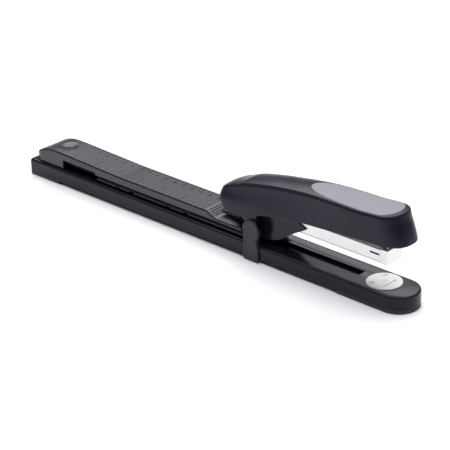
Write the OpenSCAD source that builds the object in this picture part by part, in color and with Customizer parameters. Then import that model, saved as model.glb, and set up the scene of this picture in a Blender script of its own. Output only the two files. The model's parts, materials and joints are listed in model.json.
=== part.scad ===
// Long-arm stapler: a base channel with a swivelling anvil, a ruler arm hinged at the rear,
// a sprung head with a front-loading magazine, and a sliding paper stop.
// The front is +X. Left and right are mirror images about Y = 0.

/* [Base] */
// Overall length of the base
base_l = 412; // [343:1:500]
// Width of the base channel
base_w = 35; // [33:0.5:42]
// Height of the top of the base above the table
base_h = 14.5; // [13.5:0.5:20]
// Thickness of the feet under the base
foot_h = 3; // [2.6:0.2:4]
// Wall of the base channel
base_wall = 1.6; // [1.2:0.1:2.4]
// Radius of the long top edges of the base
base_edge_r = 2; // [1.8:0.1:3]
// Length of the rear foot
rear_foot_l = 36; // [28:1:60]
// Length of the front foot
front_foot_l = 64; // [50:1:80]
// Width of the groove in the top of the base
groove_w = 8.5; // [5:0.5:12]
// Depth of the groove
groove_d = 3; // [2:0.5:4]

/* [Anvil] */
// Distance from the front end of the base to the middle of the anvil
anvil_back = 31; // [26:1:44]
// Radius of the anvil plate
anvil_r = 14.2; // [13.5:0.1:15]
// Thickness of the anvil plate
anvil_t = 1.3; // [1.1:0.1:1.8]
// How far the anvil plate stands above the base
anvil_proud = 0.5; // [0.3:0.1:0.8]
// Radius of the anvil's spindle
spindle_r = 3; // [2.5:0.5:4]

/* [Arm] */
// Gap for paper between the arm and the base
arm_gap = 2; // [1.8:0.1:3]
// Height of the cover's top at the rear, above the base
arm_rear_h = 15.2; // [14.6:0.1:16]
// Height of the ruler's level top, above the base
arm_h = 13.2; // [12.4:0.1:14.2]
// Height of the low platform behind the head, above the base
platform_h = 8.7; // [8:0.1:9.5]
// Wall of the cover
cover_wall = 1.6; // [1.2:0.1:2]
// Distance of the arm's sides from the base's sides
arm_inset = 2.6; // [2.4:0.1:3]
// Thickness of the arm's steel channel
arm_steel = 1.2; // [1:0.1:1.4]
// Length of the side window at the rear of the arm
window_l = 40; // [20:1:50]
// Distance from the rear end of the base to the arm's hinge pin
hinge_back = 18; // [17:0.5:22]
// Radius of the hinge pin
hinge_r = 2; // [1.5:0.1:2.4]

/* [Head] */
// Distance from the head pin forward to the middle of the anvil
head_reach = 125; // [122:1:135]
// Height of the head pin above the base
pin_h = 25; // [24.5:0.1:30]
// Radius of the head pin
pin_r = 2; // [1.6:0.1:2.2]
// Half width of the handle cover
handle_half_w = 16.4; // [15:0.1:17.5]
// Wall of the handle cover
handle_wall = 2.2; // [1.8:0.1:2.4]
// Radius of the long curve of the handle's top, seen from the side
handle_curve_r = 420; // [360:1:500]
// Height of the crown across the handle's top
handle_crown = 2.5; // [2:0.1:3]
// Radius of the grip pad's round front end
pad_r = 13; // [11:0.1:14]
// Length of the grip pad
pad_l = 91; // [70:1:100]

/* [Magazine] */
// Sheet thickness of the magazine
mag_steel = 0.8; // [0.6:0.05:0.9]
// Height of the magazine housing
mag_h = 10.4; // [10.2:0.1:12.5]
// Length of the strip of staples
strip_l = 52; // [20:1:60]
// Width across the crown of a staple
staple_w = 12.8; // [12.4:0.1:15.4]
// Wall of the tray that the staples lie in
tray_wall = 0.6; // [0.5:0.05:0.8]
// Length of a staple's leg
staple_leg = 6; // [5:0.5:6]
// Radius of the pusher's guide rod
rod_r = 1.25; // [1:0.05:1.4]

/* [Paper stop] */
// Distance from the head pin forward to the rear edge of the paper stop
stop_ahead = -2.5; // [-120:0.5:10]
// Length of the paper stop along the base
stop_l = 14.5; // [12:0.5:20]
// Height of the paper stop above the table
stop_h = 35.4; // [30:0.2:38]
// Thickness of the paper stop's sides
stop_wall = 1.7; // [1.3:0.1:2.2]

/* [Fits] */
// Running clearance on a radius
run_gap = 0.05; // [0.03:0.01:0.08]
// Clearance on each side of the magazine between the plates of its bracket
slide_gap = 0.3; // [0.2:0.05:0.4]
// Clearance on each side of the tray in the magazine
tray_gap = 0.2; // [0.15:0.05:0.3]
// Room on each side of the staples in the tray
staple_gap = 0.6; // [0.4:0.05:0.8]
// Clearance on each side of the head bracket in the steel channel
bracket_gap = 0.1; // [0.05:0.05:0.2]

/* [Hidden] */
$fn = 64;

// Places along the stapler
rear_x = -base_l / 2;
front_x = base_l / 2;
nose_x = front_x - base_w / 2;
anvil_x = front_x - anvil_back;
pin_x = anvil_x - head_reach;
hinge_x = rear_x + hinge_back;

// Heights
pin_z = base_h + pin_h;
arm_z = base_h + arm_gap;
hinge_z = base_h + 6;
band_z = arm_z + 4;
roof_z = base_h - base_wall;

// Half widths from the staples outwards: tray, magazine, head bracket, steel channel, ruler cover
tray_half_w = staple_w / 2 + staple_gap + tray_wall;
mag_half_w = tray_half_w + tray_gap + mag_steel;
plate_t = 1;
bracket_half_w = mag_half_w + slide_gap + plate_t;
channel_half_w = bracket_half_w + bracket_gap + arm_steel;
arm_w = base_w - 2 * arm_inset;

// The arm's steel channel and the bracket that stands in it
tail_half_w = channel_half_w - 2;
channel_x = rear_x + hinge_back + 21 + window_l;
channel_end = pin_x + 6;
channel_top = arm_z + 4.7;
bracket_z = arm_z + arm_steel;
boss_x = [channel_x + 16, pin_x - 56];
rivet_x = [pin_x - 16, pin_x - 2];

// The magazine, measured down from its top
mag_top = pin_z + 6.5;
mag_low = mag_top - mag_h;
mag_nose = pin_x + head_reach + 3;
mag_tail = pin_x - 8;
tray_z = mag_low - mag_steel;
tray_tail = pin_x + 8;
blade_t = 0.8;
blade_x = anvil_x + 6.8;
blade_half_w = staple_w / 2 - 0.2;
slot_rear = blade_x - 0.6;
front_plate_x = blade_x + blade_t + 1;
front_plate_t = 1;
front_half_w = mag_half_w + 0.6;
core_top = tray_z + mag_steel + staple_leg - 0.6;
strip_end = slot_rear - 0.2;
wire_t = 0.7;
core_half_w = staple_w / 2 - wire_t - 1.2;
rod_z = core_top + 2.1;
pusher_l = 10;
pusher_x = strip_end - strip_l - pusher_l;

// The handle's top is a crowned surface turned about a line across the stapler
flange_half_w = arm_w / 2 + 0.1;
flange_h = 3.5;
flange_r = 1.7;
crown_x = pin_x + 96;
crown_z = pin_z + 37.2 - handle_curve_r;
crown_r = (handle_half_w * handle_half_w) / (2 * handle_crown);
handle_rear_r = 13.5;
handle_tail = pin_x - 34.5;
handle_tip = pin_x + head_reach + 26;
ear_r = 8.5;

latch_z = tray_z - 1;
latch_t = 1.6;
latch_x = [pin_x - 4, pin_x + 6];

// A bar across Y, centred, with its top corners rounded; drawn in the YZ plane
module rounded_bar(w, z0, z1, r) {
    translate([-w / 2, z0])
        square([w, z1 - z0 - r]);
    translate([-w / 2 + r, z0])
        square([w - 2 * r, z1 - z0]);
    for (side = [-1, 1])
        translate([side * (w / 2 - r), z1 - r])
            circle(r);
}

// A plan outline with rounded rear corners and a half-round front end
module tongue_plan(x0, x1, half_w, r) {
    translate([x0 + r, -half_w])
        square([x1 - half_w - x0 - r, 2 * half_w]);
    translate([x0, r - half_w])
        square([x1 - half_w - x0, 2 * (half_w - r)]);
    for (side = [-1, 1])
        translate([x0 + r, side * (half_w - r)])
            circle(r);
    translate([x1 - half_w, 0])
        circle(half_w, $fn = 96);
}

// Extrudes a YZ outline along X
module along_x(x0, x1) {
    translate([x0, 0, 0])
        rotate([90, 0, 90])
            linear_extrude(x1 - x0)
                children();
}

// Extrudes an XZ outline across Y, centred
module across_y(w) {
    translate([0, w / 2, 0])
        rotate([90, 0, 0])
            linear_extrude(w)
                children();
}

// Sweeps a YZ outline along the base and round its front end
module base_run(x0) {
    along_x(x0, nose_x)
        children();
    translate([nose_x, 0, 0])
        rotate([0, 0, -90])
            rotate_extrude(angle = 180, $fn = 96)
                intersection() {
                    children();
                    square([base_w, 2 * base_h]);
                }
}

// A round bar across the stapler
module cross_pin(x, z, r, w) {
    translate([x, w / 2, z])
        rotate([90, 0, 0])
            cylinder(r = r, h = w);
}

// A block given by its lowest corner and its highest corner
module block(low, high) {
    translate(low)
        cube(high - low);
}

// A wound spring along Z: rings of points follow the helix
function coil_point(r, wire, pitch, turn, angle) =
    let(a = 360 * turn, reach = r + wire * cos(angle))
    [reach * cos(a), reach * sin(a), pitch * turn + wire * sin(angle)];

module coil(r, wire, length, turns) {
    per_turn = 12;
    sides = 6;
    rings = turns * per_turn;
    pitch = (length - 2 * wire) / turns;
    points = [for (i = [0:rings]) for (k = [0:sides - 1])
        coil_point(r, wire, pitch, i / per_turn, 360 * k / sides) + [0, 0, wire]];
    skin = [for (i = [0:rings - 1]) for (k = [0:sides - 1]) for (half = [0, 1])
        let(n = (k + 1) % sides, here = i * sides, next = here + sides)
        half == 0 ? [here + k, here + n, next + n] : [here + k, next + n, next + k]];
    first = [for (k = [0:sides - 1]) sides - 1 - k];
    last = [for (k = [0:sides - 1]) rings * sides + k];
    polyhedron(points, concat([first], skin, [last]), convexity = 10);
}

// Base

foot_screw_x = [rear_x + 7.5, rear_x + 31, anvil_x - 13, nose_x + 11];

module base_channel() {
    color([0.09, 0.09, 0.11])
        difference() {
            union() {
                difference() {
                    base_run(rear_x)
                        rounded_bar(base_w, foot_h, base_h, base_edge_r);
                    base_run(rear_x + base_wall)
                        rounded_bar(base_w - 2 * base_wall, -1, roof_z, 0.4);
                }
                block([groove_x0 - base_wall, -groove_w / 2 - base_wall, roof_z - groove_d],
                    [groove_x1 + base_wall, groove_w / 2 + base_wall, roof_z + 0.1]);
                for (x = foot_screw_x)
                    translate([x, 0, foot_h + plug_h])
                        cylinder(r = 3.5, h = roof_z + 0.1 - foot_h - plug_h);
            }
            block([groove_x0, -groove_w / 2, base_h - groove_d], [groove_x1, groove_w / 2, base_h + 1]);
            translate([anvil_x, 0, base_h - anvil_t + anvil_proud])
                cylinder(r = anvil_r + 0.4, h = anvil_t);
            translate([anvil_x, 0, 0])
                cylinder(r = spindle_r + run_gap, h = base_h + 1);
            for (x = foot_screw_x)
                translate([x, 0, foot_h])
                    cylinder(r = screw_r, h = screw_top - foot_h, $fn = 32);
            for (x = bracket_rivet_x)
                translate([x, 0, 0])
                    cylinder(r = screw_r, h = base_h + 1, $fn = 32);
        }
}

plug_h = 2.4;
screw_r = 1.5;
screw_top = roof_z - 0.6;
groove_x0 = pin_x - 20;
groove_x1 = anvil_x - 22;
bracket_rivet_x = [hinge_x - 2, hinge_x + 6, hinge_x + 22];

// A foot: a sole as wide as the base, and a plug that sits inside the channel
module foot(x0, x1) {
    color([0.05, 0.05, 0.06])
        difference() {
            union() {
                intersection() {
                    base_run(rear_x)
                        translate([0, foot_h])
                            mirror([0, 1])
                                rounded_bar(base_w, 0, foot_h, 1);
                    block([x0, -base_w, -1], [x1, base_w, foot_h]);
                }
                intersection() {
                    base_run(rear_x + base_wall + 0.2)
                        rounded_bar(base_w - 2 * base_wall - 0.4, foot_h - 0.1, foot_h + plug_h, 0.3);
                    block([x0, -base_w, foot_h - 0.1], [x1 - 2, base_w, foot_h + plug_h]);
                }
            }
            for (x = foot_screw_x)
                translate([x, 0, 0]) {
                    translate([0, 0, -1])
                        cylinder(r = screw_r, h = foot_h + plug_h + 2, $fn = 32);
                    translate([0, 0, -1])
                        cylinder(r = 3.2, h = 2.4, $fn = 32);
                }
        }
}

module front_foot() {
    difference() {
        foot(front_x - front_foot_l, front_x + 1);
        translate([anvil_x, 0, foot_h - 0.1])
            cylinder(r = 7, h = plug_h + 1);
        translate([anvil_x, 0, 1])
            cylinder(r = 6, h = foot_h);
    }
}

module rear_foot() {
    foot(rear_x, rear_x + rear_foot_l);
}

module foot_screws() {
    color([0.6, 0.6, 0.62])
        for (x = foot_screw_x)
            translate([x, 0, 0])
                difference() {
                    union() {
                        translate([0, 0, 0.5])
                            cylinder(r = 2.9, h = 0.9, $fn = 32);
                        translate([0, 0, 1])
                            cylinder(r = screw_r, h = screw_top - 1, $fn = 32);
                    }
                    for (turn = [0, 90])
                        rotate([0, 0, turn])
                            translate([-1.8, -0.3, 0.4])
                                cube([3.6, 0.6, 0.5]);
                }
}

// Rear hinge

ear_out = channel_half_w;
ear_in = tail_half_w + 0.3;
bracket_t = 1;

module hinge_bracket() {
    color([0.55, 0.56, 0.58])
        difference() {
            union() {
                block([hinge_x - 8, -ear_out, base_h], [hinge_x + 10, ear_out, base_h + bracket_t]);
                for (side = [-1, 1])
                    translate([0, side * (ear_out + ear_in) / 2, 0])
                        across_y(ear_out - ear_in) {
                            translate([hinge_x - 4, base_h])
                                square([8, hinge_z - base_h]);
                            translate([hinge_x, hinge_z])
                                circle(4);
                        }
            }
            cross_pin(hinge_x, hinge_z, hinge_r, arm_w);
            for (x = bracket_rivet_x)
                translate([x, 0, 0])
                    cylinder(r = screw_r, h = base_h + 3, $fn = 32);
        }
}

module bracket_rivets() {
    heights = [bracket_t, bracket_t, leaf_t];
    color([0.62, 0.62, 0.64])
        for (i = [0:2])
            translate([bracket_rivet_x[i], 0, 0]) {
                translate([0, 0, roof_z - 0.6])
                    cylinder(r = screw_r, h = base_h + heights[i] - roof_z + 0.7, $fn = 32);
                translate([0, 0, roof_z - 0.8])
                    cylinder(r = 2.6, h = 0.8, $fn = 32);
                translate([0, 0, base_h + heights[i]])
                    cylinder(r = 2.6, h = 0.4, $fn = 32);
            }
}

module hinge_pin() {
    color([0.7, 0.7, 0.72])
        cross_pin(hinge_x, hinge_z, hinge_r, 2 * ear_out);
}

leaf_t = 0.6;

// A leaf spring riveted to the base, bent up under the arm
module arm_spring() {
    x0 = hinge_x + 14;
    rise = arm_z - 0.35 - leaf_t;
    color([0.5, 0.5, 0.53])
        difference() {
            across_y(8)
                polygon([[x0, base_h], [x0 + 12, base_h], [x0 + 34, rise], [x0 + 40, rise],
                    [x0 + 40, rise + leaf_t], [x0 + 34, rise + leaf_t], [x0 + 12, base_h + leaf_t],
                    [x0, base_h + leaf_t]]);
            translate([bracket_rivet_x[2], 0, 0])
                cylinder(r = screw_r, h = base_h + 3, $fn = 32);
        }
}

// Anvil

clip_z = roof_z - 5;

// A staple-forming pocket: a shallow slot with round ends, lying across the anvil
module pocket(x, y0, y1) {
    depth = 0.4;
    r = 0.9;
    for (side = [-1, 1]) {
        for (y = [y0 + r, y1 - r])
            translate([x, side * y, base_h + anvil_proud - depth])
                cylinder(r = r, h = 2, $fn = 24);
        block([x - r, side * (y0 + y1) / 2 - (y1 - y0) / 2 + r, base_h + anvil_proud - depth],
            [x + r, side * (y0 + y1) / 2 + (y1 - y0) / 2 - r, base_h + anvil_proud + 2 - depth]);
    }
}

module anvil_plate() {
    pocket_back = 5.7;
    color([0.88, 0.87, 0.85])
        difference() {
            union() {
                translate([anvil_x, 0, base_h + anvil_proud - anvil_t])
                    cylinder(r = anvil_r, h = anvil_t, $fn = 96);
                translate([anvil_x, 0, clip_z - 1.4])
                    cylinder(r = spindle_r, h = base_h - clip_z + 1);
            }
            pocket(anvil_x + pocket_back, 0.6, staple_w / 2 + 0.4);
            pocket(anvil_x - pocket_back, staple_w / 2 - 0.8, staple_w / 2 + 4);
            translate([anvil_x, 0, base_h + anvil_proud - 0.2])
                difference() {
                    cylinder(r = 2.2, h = 1);
                    cylinder(r = 1.7, h = 3, center = true);
                }
        }
}

module anvil_spring() {
    color([0.6, 0.6, 0.62])
        translate([anvil_x, 0, clip_z])
            coil(spindle_r + 1, 0.35, roof_z - clip_z, 3);
}

module anvil_clip() {
    color([0.3, 0.3, 0.32])
        translate([anvil_x, 0, clip_z - 0.9])
            difference() {
                cylinder(r = 5.2, h = 0.9);
                translate([0, 0, -1])
                    cylinder(r = spindle_r, h = 3);
            }
}

// Arm

// Side outline of the ruler cover; wall shrinks it to the hollow inside
module cover_outline(wall) {
    curve_r = arm_rear_h - 0.8;
    rear = hinge_x - hinge_back + 2.6;
    top = base_h + arm_rear_h;
    difference() {
        union() {
            intersection() {
                translate([rear + curve_r, base_h + 0.8])
                    circle(curve_r - wall, $fn = 96);
                translate([rear, base_h - 5])
                    square([curve_r + 0.1, 30]);
            }
            polygon([[rear + curve_r, base_h - 5], [rear + curve_r, top - wall], [hinge_x + 21, top - wall],
                [hinge_x + 90, base_h + arm_h - wall], [slope_x, base_h + arm_h - wall],
                [slope_x + slope_l, base_h + platform_h - wall],
                [platform_x - wall, base_h + platform_h - wall - 0.2], [platform_x - wall, base_h - 5]]);
        }
        translate([rear - 1, base_h - 10])
            square([base_l, 10.8]);
    }
}

slope_x = pin_x - 47.5;
slope_l = 10;
platform_x = pin_x - 8.8;

module arm_cover() {
    dimple_ball_r = 20;
    dimple_x = hinge_x + 9;
    color([0.16, 0.16, 0.18])
        difference() {
            union() {
                difference() {
                    across_y(arm_w)
                        cover_outline(0);
                    across_y(arm_w - 2 * cover_wall)
                        cover_outline(cover_wall);
                }
                for (x = boss_x)
                    translate([x, 0, bracket_z])
                        cylinder(r = 3.2, h = cover_top(x - 4) - cover_wall + 0.2 - bracket_z);
            }
            block([hinge_x + 21, -arm_w, base_h - 5], [pin_x, arm_w, bracket_z]);
            block([platform_x - 2 * cover_wall, -arm_w, base_h], [pin_x, arm_w, channel_top + 0.1]);
            for (side = [-1, 1])
                translate([0, side * (arm_w / 2 - cover_wall / 2), 0])
                    block([hinge_x + 21, -cover_wall, base_h - 5], [pin_x, cover_wall, band_z]);
            translate([dimple_x, 0, base_h + arm_rear_h - 1.2 + dimple_ball_r])
                sphere(dimple_ball_r, $fn = 96);
            for (x = boss_x)
                translate([x, 0, 0])
                    cylinder(r = screw_r, h = arm_screw_top, $fn = 32);
            for (i = [0:3])
                translate([slope_x + 1.5 + 2.2 * i, 0, base_h + arm_h + 0.1 - (1.5 + 2.2 * i) * slope_fall])
                    cross_groove();
        }
}

slope_fall = (arm_h - platform_h) / slope_l;
arm_screw_top = base_h + arm_h - cover_wall - 1;

// A small half-round groove across the arm
module cross_groove() {
    cross_pin(0, 0, 0.4, arm_w - 4, $fn = 16);
}

// A raised scale: long marks at each whole unit, short marks between
module scale_marks(unit, divisions, edge_y, inward, reach_x) {
    first = hinge_x + 34;
    count = floor((reach_x - first) / unit * divisions);
    for (i = [0:count]) {
        x = first + i * unit / divisions;
        long = i % divisions == 0 ? 5 : (i % divisions == divisions / 2 ? 3.4 : 2.2);
        z = cover_top(x);
        block([x - 0.15, min(edge_y, edge_y + inward * long), z],
            [x + 0.15, max(edge_y, edge_y + inward * long), z + 0.12]);
    }
}

// Height of the cover's top at a place along the ruler
function cover_top(x) = x >= hinge_x + 90 ? base_h + arm_h
    : base_h + arm_h + (arm_rear_h - arm_h) * (hinge_x + 90 - x) / 69;

module cm_marks() {
    color([0.75, 0.75, 0.77])
        scale_marks(10, 2, arm_w / 2 - 1, -1, slope_x - 4);
}

module inch_marks() {
    color([0.75, 0.75, 0.77])
        scale_marks(25.4, 4, 1 - arm_w / 2, 1, slope_x - 4);
}

// An open-topped channel: floor and two sides, with rounded lower corners
module channel_2d(half_w, z0, z1, t) {
    r = 2.4;
    difference() {
        translate([0, z0 + z1])
            mirror([0, 1])
                rounded_bar(2 * half_w, z0, z1, r);
        translate([0, z0 + z1 + t])
            mirror([0, 1])
                rounded_bar(2 * (half_w - t), z0 - 1, z1, 0.1);
    }
}

// Section of the flanges that run out from the channel's sides and turn down beside it
module flange_2d() {
    for (side = [-1, 1])
        scale([side, 1])
            difference() {
                union() {
                    translate([channel_half_w - 0.4, arm_z + 0.2])
                        square([flange_half_w - channel_half_w + 0.4, flange_h - flange_r]);
                    translate([channel_half_w - 0.4, arm_z + 0.2])
                        square([flange_half_w - flange_r - channel_half_w + 0.4, flange_h]);
                    translate([flange_half_w - flange_r, arm_z + 0.2 + flange_h - flange_r])
                        circle(flange_r);
                }
                translate([channel_half_w - 0.6, arm_z])
                    square([flange_half_w - arm_steel - channel_half_w + 0.6, flange_h + 0.2 - arm_steel]);
            }
}

module arm_channel() {
    color([0.07, 0.07, 0.09])
        difference() {
            union() {
                along_x(channel_x, channel_end)
                    channel_2d(channel_half_w, arm_z, channel_top, arm_steel);
                along_x(channel_x, channel_end)
                    flange_2d();
                along_x(hinge_x - 6, channel_x + 3)
                    channel_2d(tail_half_w, arm_z + 0.1, hinge_z + 3.4, arm_steel);
            }
            cross_pin(hinge_x, hinge_z, hinge_r + run_gap, arm_w);
            for (x = [channel_x + 28, channel_x + 87])
                cross_pin(x, arm_z + 2.6, 2, 2 * flange_half_w + 2);
            for (x = [channel_x + 44, channel_x + 107], side = [-1, 1])
                translate([x, side * flange_half_w, arm_z])
                    cube([4, 2 * arm_steel, 3.4], center = true);
            for (x = boss_x)
                translate([x, 0, arm_z - 1])
                    cylinder(r = screw_r, h = 4, $fn = 32);
            for (x = boss_x)
                translate([x, 0, arm_z - 1])
                    cylinder(r = 2.9, h = 1.6, $fn = 32);
            for (x = rivet_x)
                translate([x, 0, arm_z - 1])
                    cylinder(r = screw_r, h = 4, $fn = 32);
            for (x = bracket_rivet_x)
                translate([x, 0, arm_z - 1])
                    cylinder(r = 3.2, h = 3);
        }
}

module arm_screws() {
    color([0.6, 0.6, 0.62])
        for (x = boss_x)
            translate([x, 0, arm_z]) {
                cylinder(r = 2.7, h = 0.6, $fn = 32);
                cylinder(r = screw_r, h = arm_screw_top - arm_z, $fn = 32);
            }
}

// Side outline of the bracket's plates: they rise round the pin and run out to a point in front
module bracket_outline() {
    sweep_r = 48;
    low = [for (a = [0:6:42]) [pin_x + 6 + sweep_r * sin(a), bracket_z + sweep_r * (1 - cos(a))]];
    polygon(concat([[pin_x - 22, bracket_z]], low,
        [[pin_x + 55, pin_z + 0.5], [pin_x + 46, pin_z + 5], [pin_x + 18, pin_z + 7.5],
        [pin_x, pin_z + 7.5], [pin_x - 7.5, pin_z], [pin_x - 7.5, bracket_z + 3],
        [pin_x - 22, bracket_z + 3]]));
}

module head_bracket() {
    color([0.06, 0.06, 0.08])
        difference() {
            across_y(2 * bracket_half_w)
                bracket_outline();
            across_y(2 * (bracket_half_w - plate_t))
                square_over(pin_x - 40, pin_x + 80, bracket_z + plate_t, pin_z + 20);
            cross_pin(pin_x, pin_z, pin_r, arm_w);
            for (x = rivet_x)
                translate([x, 0, arm_z])
                    cylinder(r = screw_r, h = 6, $fn = 32);
        }
}

module square_over(x0, x1, z0, z1) {
    translate([x0, z0])
        square([x1 - x0, z1 - z0]);
}

module head_rivets() {
    color([0.62, 0.62, 0.64])
        for (x = rivet_x)
            translate([x, 0, arm_z]) {
                cylinder(r = screw_r, h = arm_steel + 1.2, $fn = 32);
                translate([0, 0, arm_steel + 1])
                    cylinder(r = 2.6, h = 0.8, $fn = 32);
            }
}

module head_pin() {
    color([0.7, 0.7, 0.72])
        cross_pin(pin_x, pin_z, pin_r, 2 * (handle_half_w - 1.6));
}

// A curved leaf under the magazine that lifts the head
module magazine_spring() {
    t = 0.7;
    x0 = pin_x + 1;
    lift = mag_low - mag_steel - bracket_z - 1 - 0.05;
    reach = 38;
    low = [for (i = [0:10]) [x0 + reach * i / 10, bracket_z + 1 + (lift - t) * (1 - cos(9 * i * 2)) / 2]];
    high = [for (i = [10:-1:0]) low[i] + [0, t]];
    color([0.45, 0.45, 0.48])
        across_y(9)
            polygon(concat(low, high));
}

// Magazine

module magazine_housing() {
    color([0.9, 0.89, 0.87])
        difference() {
            union() {
                along_x(mag_tail, mag_nose)
                    difference() {
                        rounded_bar(2 * mag_half_w, mag_low, mag_top, 1.2);
                        rounded_bar(2 * (mag_half_w - mag_steel), mag_low - 1, mag_top - mag_steel, 0.4);
                    }
                block([mag_tail, -mag_half_w, tray_z], [tray_tail - 1, mag_half_w, mag_low + 0.01]);
            }
            cross_pin(pin_x, pin_z, pin_r + run_gap, arm_w);
            for (x = latch_x)
                translate([x, 0, tray_z - 1])
                    cylinder(r = rivet_r, h = 3, $fn = 32);
            side_slot(0.8);
            block([mag_nose - 4, -blade_half_w, mag_top - 2], [mag_nose + 1, blade_half_w, mag_top + 1]);
        }
}

// A slot with round ends through both sides near the nose
module side_slot(r) {
    for (x = [mag_nose - 10, mag_nose - 2])
        cross_pin(x, mag_low + 5.6, r, arm_w);
    block([mag_nose - 10, -arm_w, mag_low + 5.6 - r], [mag_nose - 2, arm_w, mag_low + 5.6 + r]);
}

rivet_r = 1.2;
latch_head_z = latch_z - latch_t - 2.8;

// Two headed pins that guide the latch below the magazine
module latch_rivets() {
    color([0.7, 0.7, 0.72])
        for (x = latch_x)
            translate([x, 0, latch_head_z]) {
                translate([0, 0, -0.8])
                    cylinder(r = 2.6, h = 0.8, $fn = 32);
                cylinder(r = rivet_r, h = tray_z + mag_steel - latch_head_z, $fn = 32);
            }
}

// The latch: a tab to press behind the head, a bar on two pins, and a tooth in the tray's floor
module release_latch() {
    top = latch_z;
    low = top - latch_t;
    tab_z = low - 7;
    tab_t = 2.4;
    color([0.14, 0.14, 0.16])
        difference() {
            union() {
                block([pin_x - 20, -4, low], [pin_x + 15, 4, top]);
                block([pin_x - 20, -6, tab_z], [pin_x - 18, 6, top]);
                along_x(pin_x - 37.5, pin_x - 18.5)
                    rounded_bar(12, tab_z, tab_z + tab_t, 0.6);
                block([pin_x + 12, -3, low], [pin_x + 15, 3, tray_z + mag_steel - 0.1]);
            }
            for (x = latch_x)
                translate([x, 0, low - 1])
                    cylinder(r = rivet_r + run_gap, h = latch_t + 2, $fn = 32);
        }
}

module latch_springs() {
    color([0.6, 0.6, 0.62])
        for (x = latch_x)
            translate([x, 0, latch_head_z])
                coil(rivet_r + 0.7, 0.25, latch_z - latch_t - latch_head_z, 3);
}

// The tray: a floor with a lip along each side, two walls, and a core that the staples straddle
module staple_tray() {
    floor_top = tray_z + mag_steel;
    color([0.85, 0.84, 0.82])
        difference() {
            union() {
                block([tray_tail, -mag_half_w, tray_z], [front_plate_x, mag_half_w, tray_z + 0.4]);
                block([tray_tail, -tray_half_w, tray_z], [front_plate_x, tray_half_w, floor_top]);
                for (side = [-1, 1])
                    translate([0, side * (tray_half_w - tray_wall / 2), 0])
                        block([tray_tail, -tray_wall / 2, tray_z], [front_plate_x, tray_wall / 2, core_top + 1]);
                block([tray_tail + 10, -core_half_w, tray_z], [strip_end, core_half_w, core_top]);
                block([tray_tail, -tray_half_w, tray_z], [tray_tail + 1.2, tray_half_w, mag_top - 1.4]);
            }
            block([slot_rear, -blade_half_w - 0.3, tray_z - 1], [front_plate_x + 1, blade_half_w + 0.3, mag_top]);
            block([pin_x + 11.6, -3.4, tray_z - 1], [pin_x + 15.4, 3.4, floor_top + 1]);
            side_slot(1.1);
            translate([tray_tail - 1, 0, rod_z])
                rotate([0, 90, 0])
                    cylinder(r = rod_r, h = 4, $fn = 32);
        }
}

module tray_front() {
    color([0.93, 0.92, 0.9])
        difference() {
            block([mag_nose + 0.4, -front_half_w, tray_z - 0.4],
                [front_plate_x + front_plate_t, front_half_w, mag_top + 0.5]);
            block([mag_nose, -mag_half_w - 0.1, tray_z - 1], [front_plate_x, mag_half_w + 0.1, mag_top + 2]);
        }
}

module staple_strip() {
    color([0.8, 0.8, 0.82])
        along_x(strip_end - strip_l, strip_end)
            difference() {
                rounded_bar(staple_w, core_top + wire_t + 0.05 - staple_leg, core_top + wire_t + 0.05, 0.7);
                translate([-staple_w / 2 + wire_t, 0])
                    square([staple_w - 2 * wire_t, core_top + 0.05]);
            }
}

module pusher_rod() {
    color([0.7, 0.7, 0.72])
        translate([tray_tail, 0, rod_z])
            rotate([0, 90, 0])
                cylinder(r = rod_r, h = strip_end - 6 - tray_tail, $fn = 32);
}

module pusher_spring() {
    color([0.6, 0.6, 0.62])
        translate([tray_tail + 1.2, 0, rod_z])
            rotate([0, 90, 0])
                coil(rod_r + 0.5, 0.25, pusher_x - tray_tail - 1.2, 20);
}

module staple_pusher() {
    color([0.12, 0.12, 0.13])
        difference() {
            block([pusher_x, -staple_w / 2 + 0.1, tray_z + mag_steel + 0.2],
                [pusher_x + pusher_l, staple_w / 2 - 0.1, mag_top - mag_steel - 0.5]);
            block([pusher_x - 1, -core_half_w - 0.3, tray_z],
                [pusher_x + pusher_l + 1, core_half_w + 0.3, core_top + 0.3]);
            translate([pusher_x - 1, 0, rod_z])
                rotate([0, 90, 0])
                    cylinder(r = rod_r + run_gap, h = pusher_l + 2, $fn = 32);
        }
}

// Handle

// The solid under the crowned top, lowered by drop and kept within half_w of the middle
module crown_solid(drop, half_w) {
    top_r = handle_curve_r - drop;
    translate([crown_x, 0, crown_z])
        rotate([90, 0, 0])
            rotate_extrude($fn = 240)
                intersection() {
                    translate([top_r + handle_crown - crown_r, 0])
                        circle(crown_r, $fn = 120);
                    translate([top_r / 2, -half_w])
                        square([top_r, 2 * half_w]);
                }
}

// Side outline of the handle, open above: the crowned top cuts it
module handle_side(wall) {
    rear_x0 = handle_tail + handle_rear_r;
    rear_z0 = pin_z - 4.5 + handle_rear_r;
    low = wall > 0 ? -20 : 0;
    translate([rear_x0, rear_z0])
        circle(handle_rear_r - wall);
    polygon([[rear_x0, rear_z0 - handle_rear_r + wall + low], [pin_x - 13, rear_z0 - handle_rear_r - 1.5 + low],
        [pin_x + 11, pin_z + 1.2 + low], [pin_x + 34, pin_z + 7 + low],
        [handle_tip - wall, pin_z + 15 + low], [handle_tip - wall - 7.5, pin_z + 45],
        [rear_x0, pin_z + 45]]);
    if (wall > 0)
        translate([rear_x0 - handle_rear_r + wall, rear_z0 - 40])
            square([handle_rear_r, 40]);
    if (wall == 0)
        translate([pin_x, pin_z])
            circle(ear_r);
}

module handle_body(wall) {
    half_w = handle_half_w - wall;
    intersection() {
        across_y(2 * half_w)
            handle_side(wall);
        translate([0, 0, pin_z - 40])
            linear_extrude(100)
                tongue_plan(handle_tail + wall, handle_tip - wall, half_w, 6 - wall);
        crown_solid(wall, half_w);
    }
}

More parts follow.
